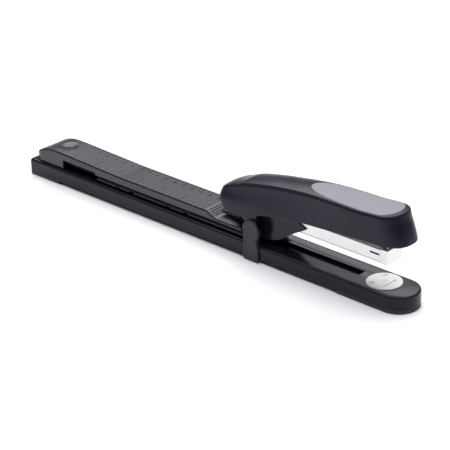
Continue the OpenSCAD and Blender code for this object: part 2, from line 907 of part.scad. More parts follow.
// Plan of the grip pad: a round front end, and two long arcs that meet in a point at the rear
module pad_plan(margin) {
    taper_l = pad_l - pad_r;
    bow_r = (taper_l * taper_l + pad_r * pad_r) / (2 * pad_r);
    round_x = handle_tip - 10 - pad_r;
    translate([round_x, 0])
        circle(pad_r + margin);
    intersection() {
        for_side(round_x, bow_r, -1, margin);
        for_side(round_x, bow_r, 1, margin);
        translate([round_x - pad_l, -pad_r - 1])
            square([pad_l, 2 * pad_r + 2]);
    }
}

// One of the two long arcs that bound the grip pad
module for_side(round_x, bow_r, side, margin) {
    translate([round_x, side * (pad_r - bow_r)])
        circle(bow_r + margin, $fn = 180);
}

pad_t = 1.4;

module grip_pad() {
    color([0.66, 0.67, 0.71])
        difference() {
            intersection() {
                crown_solid(0, handle_half_w);
                translate([0, 0, pin_z])
                    linear_extrude(60)
                        pad_plan(0);
            }
            crown_solid(pad_t, handle_half_w + 1);
        }
}

module handle_cover() {
    color([0.08, 0.08, 0.1])
        difference() {
            union() {
                difference() {
                    handle_body(0);
                    handle_body(handle_wall);
                }
                for (side = [-1, 1])
                    intersection() {
                        translate([0, side * (handle_half_w + frame_half_w + 0.2) / 2, 0])
                            cross_pin(pin_x, pin_z, 5, handle_half_w - frame_half_w - 0.2);
                        handle_body(0);
                    }
                intersection() {
                    translate([handle_screw_x, 0, frame_top(handle_screw_x - pin_x + 4) + 0.02])
                        cylinder(r = 3.5, h = 30);
                    handle_body(0.8);
                }
            }
            intersection() {
                crown_solid(-5, handle_half_w + 1);
                translate([0, 0, pin_z])
                    linear_extrude(60)
                        pad_plan(0.15);
                pad_space();
            }
            cross_pin(pin_x, pin_z, pin_r + run_gap, 2 * (handle_half_w - 1.4));
            translate([handle_screw_x, 0, frame_top(handle_screw_x - pin_x) - 2])
                cylinder(r = screw_r, h = handle_screw_l, $fn = 32);
        }
}

// Everything above the floor of the pad's recess
module pad_space() {
    difference() {
        block([pin_x, -handle_half_w, pin_z], [handle_tip, handle_half_w, pin_z + 60]);
        crown_solid(pad_t, handle_half_w + 1);
    }
}

frame_half_w = bracket_half_w + 1.9;
frame_t = 1;
handle_screw_x = pin_x + 100;
handle_screw_l = 9;

// Height of the frame's top above a place ahead of the head pin
function frame_top(ahead) = pin_z + (ahead < 10 ? 17.5 : 17.5 + 7 * (ahead - 10) / 125);

module frame_outline() {
    front = blade_x + blade_t - pin_x;
    ear = [for (a = [0:-15:-180]) [pin_x + 6.5 * cos(a), pin_z + 6.5 * sin(a)]];
    polygon(concat(ear, [[pin_x - 6.5, pin_z + 12.5], [pin_x + 10, frame_top(10)],
        [pin_x + front, frame_top(front)], [pin_x + front, pin_z + 17], [pin_x + 120, pin_z + 15.5],
        [pin_x + 36, pin_z + 9]]));
}

module handle_frame() {
    color([0.5, 0.51, 0.54])
        difference() {
            across_y(2 * frame_half_w)
                frame_outline();
            across_y(2 * (frame_half_w - frame_t)) {
                translate([0, -frame_t])
                    frame_outline();
                translate([0, -12])
                    frame_outline();
                square_over(pin_x - 10, pin_x + 8, pin_z - 10, pin_z + 11);
                square_over(blade_x - 12, blade_x + 3, pin_z + 10, pin_z + 22);
            }
            cross_pin(pin_x, pin_z, pin_r + run_gap, arm_w + 10);
            translate([handle_screw_x, 0, pin_z])
                cylinder(r = screw_r, h = 40, $fn = 32);
            translate([blade_x - 8, 0, pin_z])
                cylinder(r = screw_r, h = 40, $fn = 32);
        }
}

module handle_screw() {
    seat = frame_top(handle_screw_x - pin_x) - 2.2;
    color([0.6, 0.6, 0.62])
        translate([handle_screw_x, 0, seat]) {
            translate([0, 0, -0.8])
                cylinder(r = 2.8, h = 0.8, $fn = 32);
            cylinder(r = screw_r, h = handle_screw_l, $fn = 32);
        }
}

// The driver: an upright blade with a tab bent back under the frame
module driver_blade() {
    tab_top = frame_top(blade_x - 12 - pin_x) - frame_t - 0.4;
    color([0.85, 0.85, 0.87])
        difference() {
            union() {
                block([blade_x, -blade_half_w, rod_z + rod_r + 0.2], [blade_x + blade_t, blade_half_w, tab_top]);
                block([blade_x - 12, -blade_half_w, tab_top - blade_t], [blade_x + 0.1, blade_half_w, tab_top]);
            }
            translate([blade_x - 8, 0, pin_z])
                cylinder(r = screw_r, h = 40, $fn = 32);
        }
}

module driver_rivet() {
    tab_top = frame_top(blade_x - 12 - pin_x) - frame_t - 0.4;
    color([0.7, 0.7, 0.72])
        translate([blade_x - 8, 0, tab_top - blade_t - 0.8]) {
            cylinder(r = 2.6, h = 0.8, $fn = 32);
            cylinder(r = screw_r, h = 4.2, $fn = 32);
            translate([0, 0, 3.4])
                cylinder(r = 2.6, h = 0.8, $fn = 32);
        }
}

module handle_spring() {
    x = pin_x + 44;
    color([0.6, 0.6, 0.62])
        translate([x, 0, mag_top])
            coil(4.2, 0.5, frame_top(44 - 4.7) - frame_t - mag_top - 0.05, 6);
}

// Paper stop

stop_x = pin_x + stop_ahead;
stop_in = base_w / 2 + 0.2;
stop_low = 0.6;

// Side outline of an upright: straight beside the base, a neck, and a round head
module stop_side() {
    neck = base_h + 2;
    head_r = stop_l / 2 + 1.2;
    translate([stop_x, stop_low])
        square([stop_l, neck - stop_low]);
    translate([stop_x + stop_l / 2, stop_h - head_r])
        circle(head_r);
    polygon([[stop_x, neck - 0.1], [stop_x + stop_l, neck - 0.1],
        [stop_x + stop_l + 1, stop_h - head_r], [stop_x - 1, stop_h - head_r]]);
}

module paper_stop() {
    strap_t = 1.8;
    color([0.2, 0.2, 0.22])
        union() {
            for (side = [-1, 1])
                translate([0, side * (stop_in + stop_wall / 2), 0])
                    across_y(stop_wall)
                        stop_side();
            difference() {
                block([stop_x, -stop_in - stop_wall / 2, stop_low],
                    [stop_x + stop_l, stop_in + stop_wall / 2, stop_low + strap_t]);
                block([stop_x + 2, -8, stop_low + strap_t - 0.4],
                    [stop_x + stop_l - 2, 8, stop_low + strap_t + 1]);
            }
            for (side = [-1, 1])
                translate([0, side * (base_w / 2 - 0.6), 0])
                    block([stop_x, -1.4, base_h + 0.15], [stop_x + stop_l, 1.4, base_h + 1.35]);
        }
}

// A flat spring in the strap, bowed up against the base channel's lower edges
module stop_spring() {
    strap_top = stop_low + 1.4;
    color([0.6, 0.6, 0.62])
        block([stop_x + 2.5, -7.5, strap_top], [stop_x + stop_l - 2.5, 7.5, strap_top + 0.4]);
}

base_channel();
front_foot();
rear_foot();
foot_screws();
hinge_bracket();
bracket_rivets();
hinge_pin();
arm_spring();
anvil_plate();
anvil_spring();
anvil_clip();
arm_cover();
arm_channel();
cm_marks();
inch_marks();
arm_screws();
head_bracket();
head_rivets();
head_pin();
magazine_spring();
magazine_housing();
latch_rivets();
release_latch();
latch_springs();
staple_tray();
tray_front();
staple_strip();
pusher_rod();
pusher_spring();
staple_pusher();
handle_cover();
grip_pad();
handle_frame();
handle_screw();
driver_blade();
driver_rivet();
handle_spring();
paper_stop();
stop_spring();
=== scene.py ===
# Long-arm stapler: the looks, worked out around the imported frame.
# Sizes in the dictionaries are millimetres; meshes are written in metres.
import json

import bmesh
import bpy
import numpy as np
from mathutils import Matrix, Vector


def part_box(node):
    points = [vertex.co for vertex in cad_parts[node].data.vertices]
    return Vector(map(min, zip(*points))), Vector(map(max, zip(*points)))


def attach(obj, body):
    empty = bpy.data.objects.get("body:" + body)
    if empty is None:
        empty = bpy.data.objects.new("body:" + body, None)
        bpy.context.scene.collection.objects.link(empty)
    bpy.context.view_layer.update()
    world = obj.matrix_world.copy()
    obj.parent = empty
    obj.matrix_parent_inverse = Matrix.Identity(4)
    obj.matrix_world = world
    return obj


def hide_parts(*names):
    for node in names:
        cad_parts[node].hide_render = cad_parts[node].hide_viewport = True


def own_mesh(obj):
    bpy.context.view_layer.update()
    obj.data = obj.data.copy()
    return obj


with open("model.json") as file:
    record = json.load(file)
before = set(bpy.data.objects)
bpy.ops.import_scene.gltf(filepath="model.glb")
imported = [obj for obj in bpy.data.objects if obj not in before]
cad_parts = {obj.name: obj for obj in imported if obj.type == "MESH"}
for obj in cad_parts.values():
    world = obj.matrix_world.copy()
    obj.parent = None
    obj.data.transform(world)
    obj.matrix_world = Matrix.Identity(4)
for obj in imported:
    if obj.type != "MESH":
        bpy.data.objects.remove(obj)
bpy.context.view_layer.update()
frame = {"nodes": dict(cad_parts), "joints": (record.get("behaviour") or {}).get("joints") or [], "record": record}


print("frame loaded:", len(frame["nodes"]), "nodes")

mm = 0.001


def boxOf(node):
    # lowest and highest corner of a CAD node, in millimetres
    low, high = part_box(node)
    return np.array(low) / mm, np.array(high) / mm


def jointPlace(name):
    # where a joint's axis passes, in millimetres
    for joint in frame["joints"]:
        if joint["name"] == name:
            return np.array(joint["pos_m"]) / mm
    raise ValueError(name)


pin = jointPlace("magazine_pivot")
hinge = jointPlace("arm_hinge")
anvilPlace = jointPlace("anvil_turn")
baseTop = anvilPlace[2]


# arrays and meshes

meshing = {
    "mergeGap": 2e-6,          # metres; points of a grid closer than this become one
    "sliver": 1e-7,            # metres; shorter edges are dissolved
    "copyGap": 1e-6,           # metres; the same for a copy of a CAD node
    "copyFlat": 0.01,          # radians; CAD faces that meet flatter than this are joined
    "copySharp": 30,           # degrees; a copy's edges that stay sharp
    "bevelAngle": 35,          # degrees; edges that are softened
    "bevelSegments": 2,
}


def smoothStep(x, start, end):
    # 0 before start, 1 after end, and 3t^2 - 2t^3 between them
    t = np.clip((x - start) / (end - start), 0, 1)
    return t * t * (3 - 2 * t)


def softLine(x, places, heights, soften):
    # straight lines through the points, averaged over a window of soften each way, which rounds the corners
    shifts = np.linspace(-soften, soften, 9)
    return np.mean([np.interp(x + s, places, heights) for s in shifts], axis=0)


def gridFaces(rows, cols, wrap, start):
    # quads between neighbours; with wrap the last column joins the first
    last = cols if wrap else cols - 1
    i, j = np.meshgrid(np.arange(rows - 1), np.arange(last), indexing="ij")
    k = (j + 1) % cols
    quads = np.stack([i * cols + j, i * cols + k, (i + 1) * cols + k, (i + 1) * cols + j], axis=-1)
    return quads.reshape(-1, 4) + start


def putMesh(name, grids, sharpAngle, capEnds=False):
    # grids are (points, wrap) pairs joined into one mesh; coincident points are merged,
    # and the shell is turned to face outwards
    points, quads, caps, start = [], [], [], 0
    for grid, wrap in grids:
        rows, cols = grid.shape[:2]
        points.append(grid.reshape(-1, 3))
        quads.append(gridFaces(rows, cols, wrap, start))
        if capEnds:
            caps.append(np.arange(cols) + start)
            caps.append(np.arange(cols) + start + (rows - 1) * cols)
        start += rows * cols
    points = np.concatenate(points) * mm
    quads = np.concatenate(quads)
    mesh = bpy.data.meshes.new(name)
    corners = np.concatenate([quads.ravel()] + caps).astype(np.int32)
    sizes = np.concatenate([np.full(len(quads), 4), [len(c) for c in caps]]).astype(np.int32)
    mesh.vertices.add(len(points))
    mesh.vertices.foreach_set("co", points.ravel().astype(np.float32))
    mesh.loops.add(len(corners))
    mesh.loops.foreach_set("vertex_index", corners)
    mesh.polygons.add(len(sizes))
    starts = np.concatenate([[0], np.cumsum(sizes)[:-1]]).astype(np.int32)
    mesh.polygons.foreach_set("loop_start", starts)
    mesh.update(calc_edges=True)
    work = bmesh.new()
    work.from_mesh(mesh)
    bmesh.ops.remove_doubles(work, verts=work.verts, dist=meshing["mergeGap"])
    bmesh.ops.dissolve_degenerate(work, edges=work.edges, dist=meshing["sliver"])
    bmesh.ops.recalc_face_normals(work, faces=work.faces)
    work.to_mesh(mesh)
    work.free()
    mesh.validate()
    mesh.shade_smooth()
    mesh.set_sharp_from_angle(angle=np.radians(sharpAngle))
    piece = bpy.data.objects.new(name, mesh)
    bpy.context.scene.collection.objects.link(piece)
    return piece


def addPiece(piece, body, replaced, material):
    # rides on its body, stands for its CAD nodes and takes its finish
    piece.data.materials.clear()
    piece.data.materials.append(material)
    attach(piece, body)
    if replaced:
        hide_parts(*replaced)
    return piece


def softCopy(node, width):
    # a merged copy of a CAD node's mesh, flat faces joined up, with its edges cut back by width
    source = frame["nodes"][node]
    mesh = source.data.copy()
    mesh.name = node + "Soft"
    work = bmesh.new()
    work.from_mesh(mesh)
    bmesh.ops.remove_doubles(work, verts=work.verts, dist=meshing["copyGap"])
    bmesh.ops.dissolve_limit(work, angle_limit=meshing["copyFlat"], verts=work.verts, edges=work.edges)
    work.to_mesh(mesh)
    work.free()
    mesh.shade_smooth()
    mesh.set_sharp_from_angle(angle=np.radians(meshing["copySharp"]))
    piece = bpy.data.objects.new(node + "Soft", mesh)
    bpy.context.scene.collection.objects.link(piece)
    bevel = piece.modifiers.new("softEdges", "BEVEL")
    bevel.width = width * mm
    bevel.segments = meshing["bevelSegments"]
    bevel.limit_method = "ANGLE"
    bevel.angle_limit = np.radians(meshing["bevelAngle"])
    bevel.use_clamp_overlap = True
    bevel.harden_normals = True
    return piece


# materials

class Wire:
    # a socket in a material; + - and * with wires or numbers add Math nodes
    def __init__(self, book, socket):
        self.book = book
        self.socket = socket

    def maths(self, operation, first, second=0.0):
        return self.book.add("ShaderNodeMath", {"operation": operation}, {0: first, 1: second})

    def __add__(self, other):
        return self.maths("ADD", self, other)

    def __radd__(self, other):
        return self.maths("ADD", other, self)

    def __sub__(self, other):
        return self.maths("SUBTRACT", self, other)

    def __rsub__(self, other):
        return self.maths("SUBTRACT", other, self)

    def __mul__(self, other):
        return self.maths("MULTIPLY", self, other)

    def __rmul__(self, other):
        return self.maths("MULTIPLY", other, self)

    def floor(self):
        return self.maths("FLOOR", self)


class FinishBook:
    # one material: its node tree, and the one method that adds any node
    def __init__(self, name):
        self.material = bpy.data.materials.new(name)
        self.material.use_nodes = True
        self.tree = self.material.node_tree
        self.tree.nodes.clear()

    def add(self, kind, settings, inputs, output=0):
        node = self.tree.nodes.new(kind)
        for key, value in settings.items():
            if key == "stops":
                self.setStops(node.color_ramp, value)
            else:
                setattr(node, key, value)
        for key, value in inputs.items():
            if isinstance(value, Wire):
                self.tree.links.new(value.socket, node.inputs[key])
            else:
                node.inputs[key].default_value = value
        return Wire(self, node.outputs[output]) if len(node.outputs) else None

    def setStops(self, ramp, stops):
        # stops are (place, grey) pairs
        while len(ramp.elements) < len(stops):
            ramp.elements.new(0.5)
        for element, (place, grey) in zip(ramp.elements, stops):
            element.position = place
            element.color = (grey, grey, grey, 1)

    def place(self, stretch=(1, 1, 1)):
        # object coordinates, stretched along the axes
        raw = self.add("ShaderNodeTexCoord", {}, {}, "Object")
        return self.add("ShaderNodeMapping", {}, {"Vector": raw, "Scale": stretch})

    def split(self, vector):
        # its X, Y and Z
        node = self.add("ShaderNodeSeparateXYZ", {}, {"Vector": vector})
        outputs = node.socket.node.outputs
        return [Wire(self, outputs[i]) for i in range(3)]

    def noise(self, size, detail=2.0, roughness=0.5, stretch=(1, 1, 1)):
        # noise whose blotches are about size millimetres across
        return self.add("ShaderNodeTexNoise", {}, {
            "Vector": self.place(stretch), "Scale": 1 / (size * mm), "Detail": detail,
            "Roughness": roughness})

    def cells(self, size):
        # distance to the nearest point of a scatter with cells about size millimetres across
        return self.add("ShaderNodeTexVoronoi", {}, {
            "Vector": self.place(), "Scale": 1 / (size * mm)})

    def ramp(self, value, stops):
        # grey that goes straight from stop to stop
        return self.add("ShaderNodeValToRGB", {"stops": stops}, {"Fac": value})

    def mix(self, factor, first, second):
        # the first colour where factor is 0, the second where it is 1
        colours = [c if isinstance(c, Wire) else (*c, 1) for c in (first, second)]
        return self.add("ShaderNodeMix", {"data_type": "RGBA"},
                        {0: factor, 6: colours[0], 7: colours[1]}, 2)

    def bump(self, height, depth, strength):
        # height from 0 to 1 stands for depth millimetres
        return self.add("ShaderNodeBump", {}, {
            "Height": height, "Distance": depth * mm, "Strength": strength})

    def finish(self, **sockets):
        # the Principled shader; names are written with spaces as underscores
        inputs = {name.replace("_", " "): value for name, value in sockets.items()}
        if not isinstance(inputs["Base Color"], Wire):
            inputs["Base Color"] = (*inputs["Base Color"], 1)
        shader = self.add("ShaderNodeBsdfPrincipled", {}, inputs)
        self.add("ShaderNodeOutputMaterial", {}, {"Surface": shader})
        return self.material


def scuffs(book, across, along):
    # faint long scratches in a few patches: stretched noise cut to its peaks
    lines = book.noise(0.5, 2.0, 0.6, (across, along, across))
    patches = book.ramp(book.noise(24, 2.0), [(0.52, 0), (0.72, 1)])
    return book.ramp(lines, [(0.66, 0), (0.74, 1)]) * patches


def blackEnamel():
    # stoved gloss paint: slow orange-peel, faint dust and hairline scuffs
    book = FinishBook("blackEnamel")
    peel = book.noise(2.2, 1.0, 0.4)
    dust = book.ramp(book.noise(0.25, 1.0), [(0.70, 0), (0.78, 1)])
    marks = scuffs(book, 3.0, 0.12)
    shade = book.mix(book.noise(35, 3.0), (0.006, 0.006, 0.010), (0.010, 0.010, 0.016))
    colour = book.mix(dust * 0.10 + marks * 0.10, shade, (0.20, 0.20, 0.21))
    rough = 0.17 + 0.05 * book.noise(12, 3.0) + 0.10 * dust + 0.12 * marks
    normal = book.bump(peel, 0.010, 0.5)
    return book.finish(Base_Color=colour, Roughness=rough, Normal=normal, Specular_IOR_Level=0.26,
                       Specular_Tint=(0.82, 0.84, 1.0, 1))


def blackGloss():
    # moulded cover: fine spark-eroded texture under a soft shine
    book = FinishBook("blackGloss")
    grain = book.noise(0.35, 2.0, 0.6)
    marks = scuffs(book, 2.4, 0.2)
    shade = book.mix(book.noise(30, 2.0), (0.006, 0.006, 0.011), (0.010, 0.010, 0.017))
    colour = book.mix(marks * 0.08, shade, (0.18, 0.18, 0.20))
    rough = 0.27 + 0.05 * book.noise(9, 3.0) + 0.05 * grain + 0.10 * marks
    normal = book.bump(grain, 0.006, 0.35)
    return book.finish(Base_Color=colour, Roughness=rough, Normal=normal, Specular_IOR_Level=0.26,
                       Specular_Tint=(0.82, 0.84, 1.0, 1))


def blackSatin():
    # satin moulding, a little greyer where hands have rubbed it
    book = FinishBook("blackSatin")
    grain = book.noise(0.3, 2.0, 0.6)
    rubbed = book.ramp(book.noise(28, 2.0), [(0.45, 0), (0.75, 1)])
    marks = scuffs(book, 3.0, 0.15)
    colour = book.mix(rubbed * 0.5 + marks * 0.2, (0.010, 0.010, 0.014), (0.018, 0.018, 0.023))
    rough = 0.30 + 0.06 * grain + 0.06 * rubbed + 0.08 * marks
    normal = book.bump(grain, 0.008, 0.4)
    return book.finish(Base_Color=colour, Roughness=rough, Normal=normal, Specular_IOR_Level=0.62,
                       Specular_Tint=(0.88, 0.90, 1.0, 1))


def gripGrey():
    # soft-touch pad: pebbled skin, slightly soiled
    book = FinishBook("gripGrey")
    pebbles = book.cells(0.55)
    fine = book.noise(0.22, 2.0, 0.6)
    soil = book.ramp(book.noise(14, 3.0), [(0.42, 0), (0.8, 1)])
    colour = book.mix(soil * 0.35 + pebbles * 0.15, (0.215, 0.218, 0.240), (0.175, 0.178, 0.200))
    rough = 0.50 + 0.08 * fine + 0.06 * soil
    normal = book.bump(pebbles * 0.7 + fine * 0.3, 0.025, 0.45)
    return book.finish(Base_Color=colour, Roughness=rough, Normal=normal, Specular_IOR_Level=0.5)


def nickel():
    # bright plate: faint drawing lines along the strip, small clouds
    book = FinishBook("nickel")
    lines = book.noise(0.2, 2.0, 0.6, (0.04, 1.0, 1.0))
    clouds = book.noise(11, 3.0)
    colour = book.mix(clouds, (0.90, 0.885, 0.865), (0.83, 0.815, 0.80))
    rough = 0.34 + 0.10 * lines + 0.06 * clouds
    normal = book.bump(lines, 0.004, 0.4)
    return book.finish(Base_Color=colour, Roughness=rough, Metallic=0.8, Normal=normal)


def anvilSteel():
    # tumbled plate: matte, with fine pits and a few paper-worn streaks
    book = FinishBook("anvilSteel")
    pits = book.noise(0.25, 2.0, 0.6)
    streaks = book.noise(0.6, 2.0, 0.5, (1.0, 0.1, 1.0))
    colour = book.mix(pits * 0.5 + streaks * 0.4, (0.60, 0.585, 0.57), (0.48, 0.47, 0.46))
    rough = 0.42 + 0.12 * pits
    normal = book.bump(pits, 0.008, 0.4)
    return book.finish(Base_Color=colour, Roughness=rough, Metallic=0.7, Normal=normal)


def zinc():
    # zinc plate: crystalline cast, duller in patches
    book = FinishBook("zinc")
    spangle = book.cells(1.6)
    clouds = book.noise(5, 3.0)
    colour = book.mix(spangle * 0.5 + clouds * 0.4, (0.62, 0.63, 0.65), (0.45, 0.46, 0.49))
    rough = 0.30 + 0.12 * clouds + 0.06 * spangle
    normal = book.bump(book.noise(0.4, 2.0), 0.006, 0.4)
    return book.finish(Base_Color=colour, Roughness=rough, Metallic=0.95, Normal=normal)


def springSteel():
    # oiled strip with rolling lines and a faint brown cast
    book = FinishBook("springSteel")
    lines = book.noise(0.15, 2.0, 0.6, (0.1, 1.0, 1.0))
    oil = book.ramp(book.noise(4, 3.0), [(0.4, 0), (0.7, 1)])
    colour = book.mix(oil, (0.40, 0.40, 0.42), (0.27, 0.255, 0.24))
    rough = 0.24 + 0.12 * lines + 0.08 * oil
    normal = book.bump(lines, 0.004, 0.4)
    return book.finish(Base_Color=colour, Roughness=rough, Metallic=1.0, Normal=normal)


def stapleWire():
    # galvanised wire, each staple a touch lighter or darker than the next
    book = FinishBook("stapleWire")
    along = book.split(book.place())[0]
    steps = (along * (1 / (strip["pitch"] * mm))).floor()
    tint = book.add("ShaderNodeTexWhiteNoise", {"noise_dimensions": "1D"}, {"W": steps}, 0)
    colour = book.mix(tint, (0.72, 0.72, 0.74), (0.56, 0.56, 0.59))
    rough = 0.25 + 0.12 * book.noise(0.6, 2.0)
    normal = book.bump(book.noise(0.15, 2.0), 0.004, 0.4)
    return book.finish(Base_Color=colour, Roughness=rough, Metallic=1.0, Normal=normal)


def stopGrey():
    # matte nylon with a fine even texture
    book = FinishBook("stopGrey")
    grain = book.noise(0.28, 2.0, 0.65)
    rubbed = book.ramp(book.noise(9, 2.0), [(0.45, 0), (0.8, 1)])
    colour = book.mix(rubbed * 0.5 + grain * 0.2, (0.020, 0.020, 0.028), (0.034, 0.034, 0.044))
    rough = 0.46 + 0.10 * grain - 0.06 * rubbed
    normal = book.bump(grain, 0.014, 0.5)
    return book.finish(Base_Color=colour, Roughness=rough, Normal=normal, Specular_IOR_Level=0.35)


def scalePrint():
    # raised marks, their tops rubbed brighter
    book = FinishBook("scalePrint")
    rubbed = book.ramp(book.noise(3, 3.0), [(0.35, 0), (0.7, 1)])
    colour = book.mix(rubbed, (0.006, 0.006, 0.008), (0.03, 0.03, 0.033))
    rough = 0.60 + 0.15 * rubbed
    normal = book.bump(book.noise(0.3, 2.0), 0.006, 0.4)
    return book.finish(Base_Color=colour, Roughness=rough, Normal=normal, Specular_IOR_Level=0.05)


def footRubber():
    # dull rubbery moulding with a dusty bloom
    book = FinishBook("footRubber")
    bloom = book.ramp(book.noise(6, 3.0), [(0.4, 0), (0.8, 1)])
    colour = book.mix(bloom, (0.014, 0.014, 0.017), (0.030, 0.030, 0.032))
    rough = 0.55 + 0.15 * bloom
    normal = book.bump(book.noise(0.4, 2.0, 0.6), 0.02, 0.5)
    return book.finish(Base_Color=colour, Roughness=rough, Normal=normal)


# handle cover: a profile carried round the plan outline of the head

handleLow, handleHigh = boxOf("handle_cover")
handle = {
    "halfWidth": handleHigh[1],
    "rear": handleLow[0],
    "tip": handleHigh[0],
    "cornerRadius": 7.0,       # rear corners, seen from above
    "noseLength": 22.0,        # length of the rounded front, seen from above
    "nosePower": 2.6,          # 2 is an ellipse, more is squarer
    # height of the long top edges over the head pin, at places ahead of it
    "topAhead": [-36, -30, -25, -13, -1, 11, 22, 34, 45, 57, 69, 82, 102, 113, 123, 135, 151],
    "topRise": [13.5, 15.9, 17.8, 21.0, 24.0, 26.6, 28.7, 30.5, 32.2, 33.6, 34.7, 35.3, 35.7, 35.9,
                36.7, 37.4, 37.7],
    "topSoften": 4.0,          # how far the corners of that line are rounded
    "crown": 2.3,              # rise of the middle over the edges
    "crownLoss": 0.5,          # share of it lost towards the nose
    "crownFade": [85, 135],
    "narrow": 0.18,            # share by which the top is narrower at the rear
    "narrowFade": [22, 105],
    "rearRadius": 12.5,        # the round rear end, seen from the side
    "rearSweep": 0.62,         # how strongly it curves forward above and below its middle
    "rearMiddle": 6.5,         # height of that middle over the head pin
    "rearLong": 30,
    "rearDrop": 3.0,           # fall of the top at the very end
    "rearFade": 3.0,
    "earRadius": 8.5,          # the side's round ear about the head pin
    # height of the lower edges, in the same way
    "bottomAhead": [-36, -24, -10, 10, 34, 75, 120, 151],
    "bottomRise": [-4.0, -5.2, -6.2, 0.8, 7.0, 10.0, 13.2, 14.6],
    "bottomSoften": 5.0,
    "wall": 1.4,
    "lip": 0.5,                # radius of the lower edge
    "creaseDown": 1.3,         # the pressed line below the top edge
    "creaseDepth": 0.6,
    "edgeRadius": 1.5,
    "noseLean": 7.0,           # how much further forward the nose is at its lower edge
    "leanPower": 1.3,
    "leanRise": 15,            # height over the head pin where the lean starts
    "leanTop": 4,              # and how far below the highest point it ends
    "leanLong": 46,
}


def tongueOutline(rear, tip, halfWidth, corner, noseLength, power):
    # half of the plan outline from the rear's middle to the tip, then its mirror image:
    # a straight rear, a quarter circle, a straight side and a quarter superellipse
    sidePoints = 150
    turn = np.linspace(0, np.pi / 2, 18)
    nose = np.linspace(np.pi / 2, 0, 44)
    rearX = np.full(12, rear)
    rearY = np.linspace(0, halfWidth - corner, 12)
    cornerX = rear + corner - corner * np.cos(turn)
    cornerY = halfWidth - corner + corner * np.sin(turn)
    sideX = np.linspace(rear + corner, tip - noseLength, sidePoints)
    noseX = tip - noseLength + noseLength * np.cos(nose) ** (2 / power)
    noseY = halfWidth * np.sin(nose) ** (2 / power)
    x = np.concatenate([rearX, cornerX[1:], sideX[1:], noseX[1:]])
    y = np.concatenate([rearY, cornerY[1:], np.full(sidePoints - 1, halfWidth), noseY[1:]])
    y[-1] = 0
    return np.concatenate([x, x[-2:0:-1]]), np.concatenate([y, -y[-2:0:-1]])


def headNarrow(x):
    # full share at the rear, fading to none well ahead of the head pin
    start, end = handle["narrowFade"]
    return handle["narrow"] * (1 - smoothStep(x, pin[0] + start, pin[0] + end))


def handleTop(x, y):
    # softened line of the edges, plus a parabola across that is lower at the nose,
    # less a fall at the rear end that fades as e^(-distance)
    h = handle
    edge = pin[2] + softLine(x, pin[0] + np.array(h["topAhead"]), np.array(h["topRise"]), h["topSoften"])
    fall = h["rearDrop"] * np.exp(-np.clip(x - h["rear"], 0, None) / h["rearFade"])
    start, end = h["crownFade"]
    crown = h["crown"] * (1 - h["crownLoss"] * smoothStep(x, pin[0] + start, pin[0] + end))
    across = y / (h["halfWidth"] * (1 - headNarrow(x)))
    return edge - fall + crown * (1 - across ** 2)


def handleBottom(x):
    # the lower of softened straight lines and a circle about the head pin
    h = handle
    line = softLine(x, pin[0] + np.array(h["bottomAhead"]), pin[2] + np.array(h["bottomRise"]),
                    h["bottomSoften"])
    reach = np.clip(h["earRadius"] ** 2 - (x - pin[0]) ** 2, 0, None)
    ear = np.where(reach > 0, pin[2] - np.sqrt(reach), line)
    return np.minimum(line, ear)


def handleLean(x, z):
    # shifts along X: the rear end follows a parabola, and the nose slopes back towards the top
    # as a power of the height
    h = handle
    side = np.abs(z - pin[2] - h["rearMiddle"])
    rearShift = h["rearSweep"] * side ** 2 / h["rearRadius"]
    rearShare = 1 - smoothStep(x, h["rear"], h["rear"] + h["rearLong"])
    start, end = pin[2] + h["leanRise"], handleHigh[2] - h["leanTop"]
    noseShift = h["noseLean"] * np.clip((z - start) / (end - start), 0, 1) ** h["leanPower"]
    noseShare = smoothStep(x, h["tip"] - h["leanLong"], h["tip"])
    return rearShift * rearShare - noseShift * noseShare


pad = {
    "front": handleHigh[0] - 4.5,
    "radius": 14.6,            # the round front end, and so the half width
    "length": 92.5,
    "power": 4.0,              # more keeps the pad wide for longer
    "blunt": 0.5,              # less makes the rear end squarer
    "proud": 0.30,             # height over the head's top
    "depth": 1.2,
    "rimWidth": 0.9,
    "rimRadius": 0.5,
    "seatGap": 1.0,            # how much narrower the head's seat for the pad is
}


def padHalfWidth(x):
    # half width of the grip pad: a circle at the front, and behind it
    # (1 - t^power)^blunt with t from 0 at the circle's middle to 1 at the rear end
    p = pad
    centre = p["front"] - p["radius"]
    behind = np.clip((centre - x) / (p["length"] - p["radius"]), 0, 1)
    ahead = np.clip((x - centre) / p["radius"], 0, 1)
    taper = (1 - behind ** p["power"]) ** p["blunt"]
    return p["radius"] * np.where(x > centre, np.sqrt(1 - ahead ** 2), taper)


def carried(x, y, spineStart, spineEnd, insets, blends):
    # the outline drawn in by each row's inset along its normal, then towards the spine by its blend
    dx = np.roll(x, -1) - np.roll(x, 1)
    dy = np.roll(y, -1) - np.roll(y, 1)
    size = np.hypot(dx, dy)
    normalX, normalY = -dy / size, dx / size
    turned = np.sign(np.sum(x * np.roll(y, -1) - y * np.roll(x, -1)))
    rowX = x[None] + turned * insets[:, None] * normalX[None]
    rowY = y[None] + turned * insets[:, None] * normalY[None]
    spineX = np.clip(rowX, spineStart, spineEnd)
    share = blends[:, None]
    return rowX * (1 - share) + spineX * share, rowY * (1 - share)


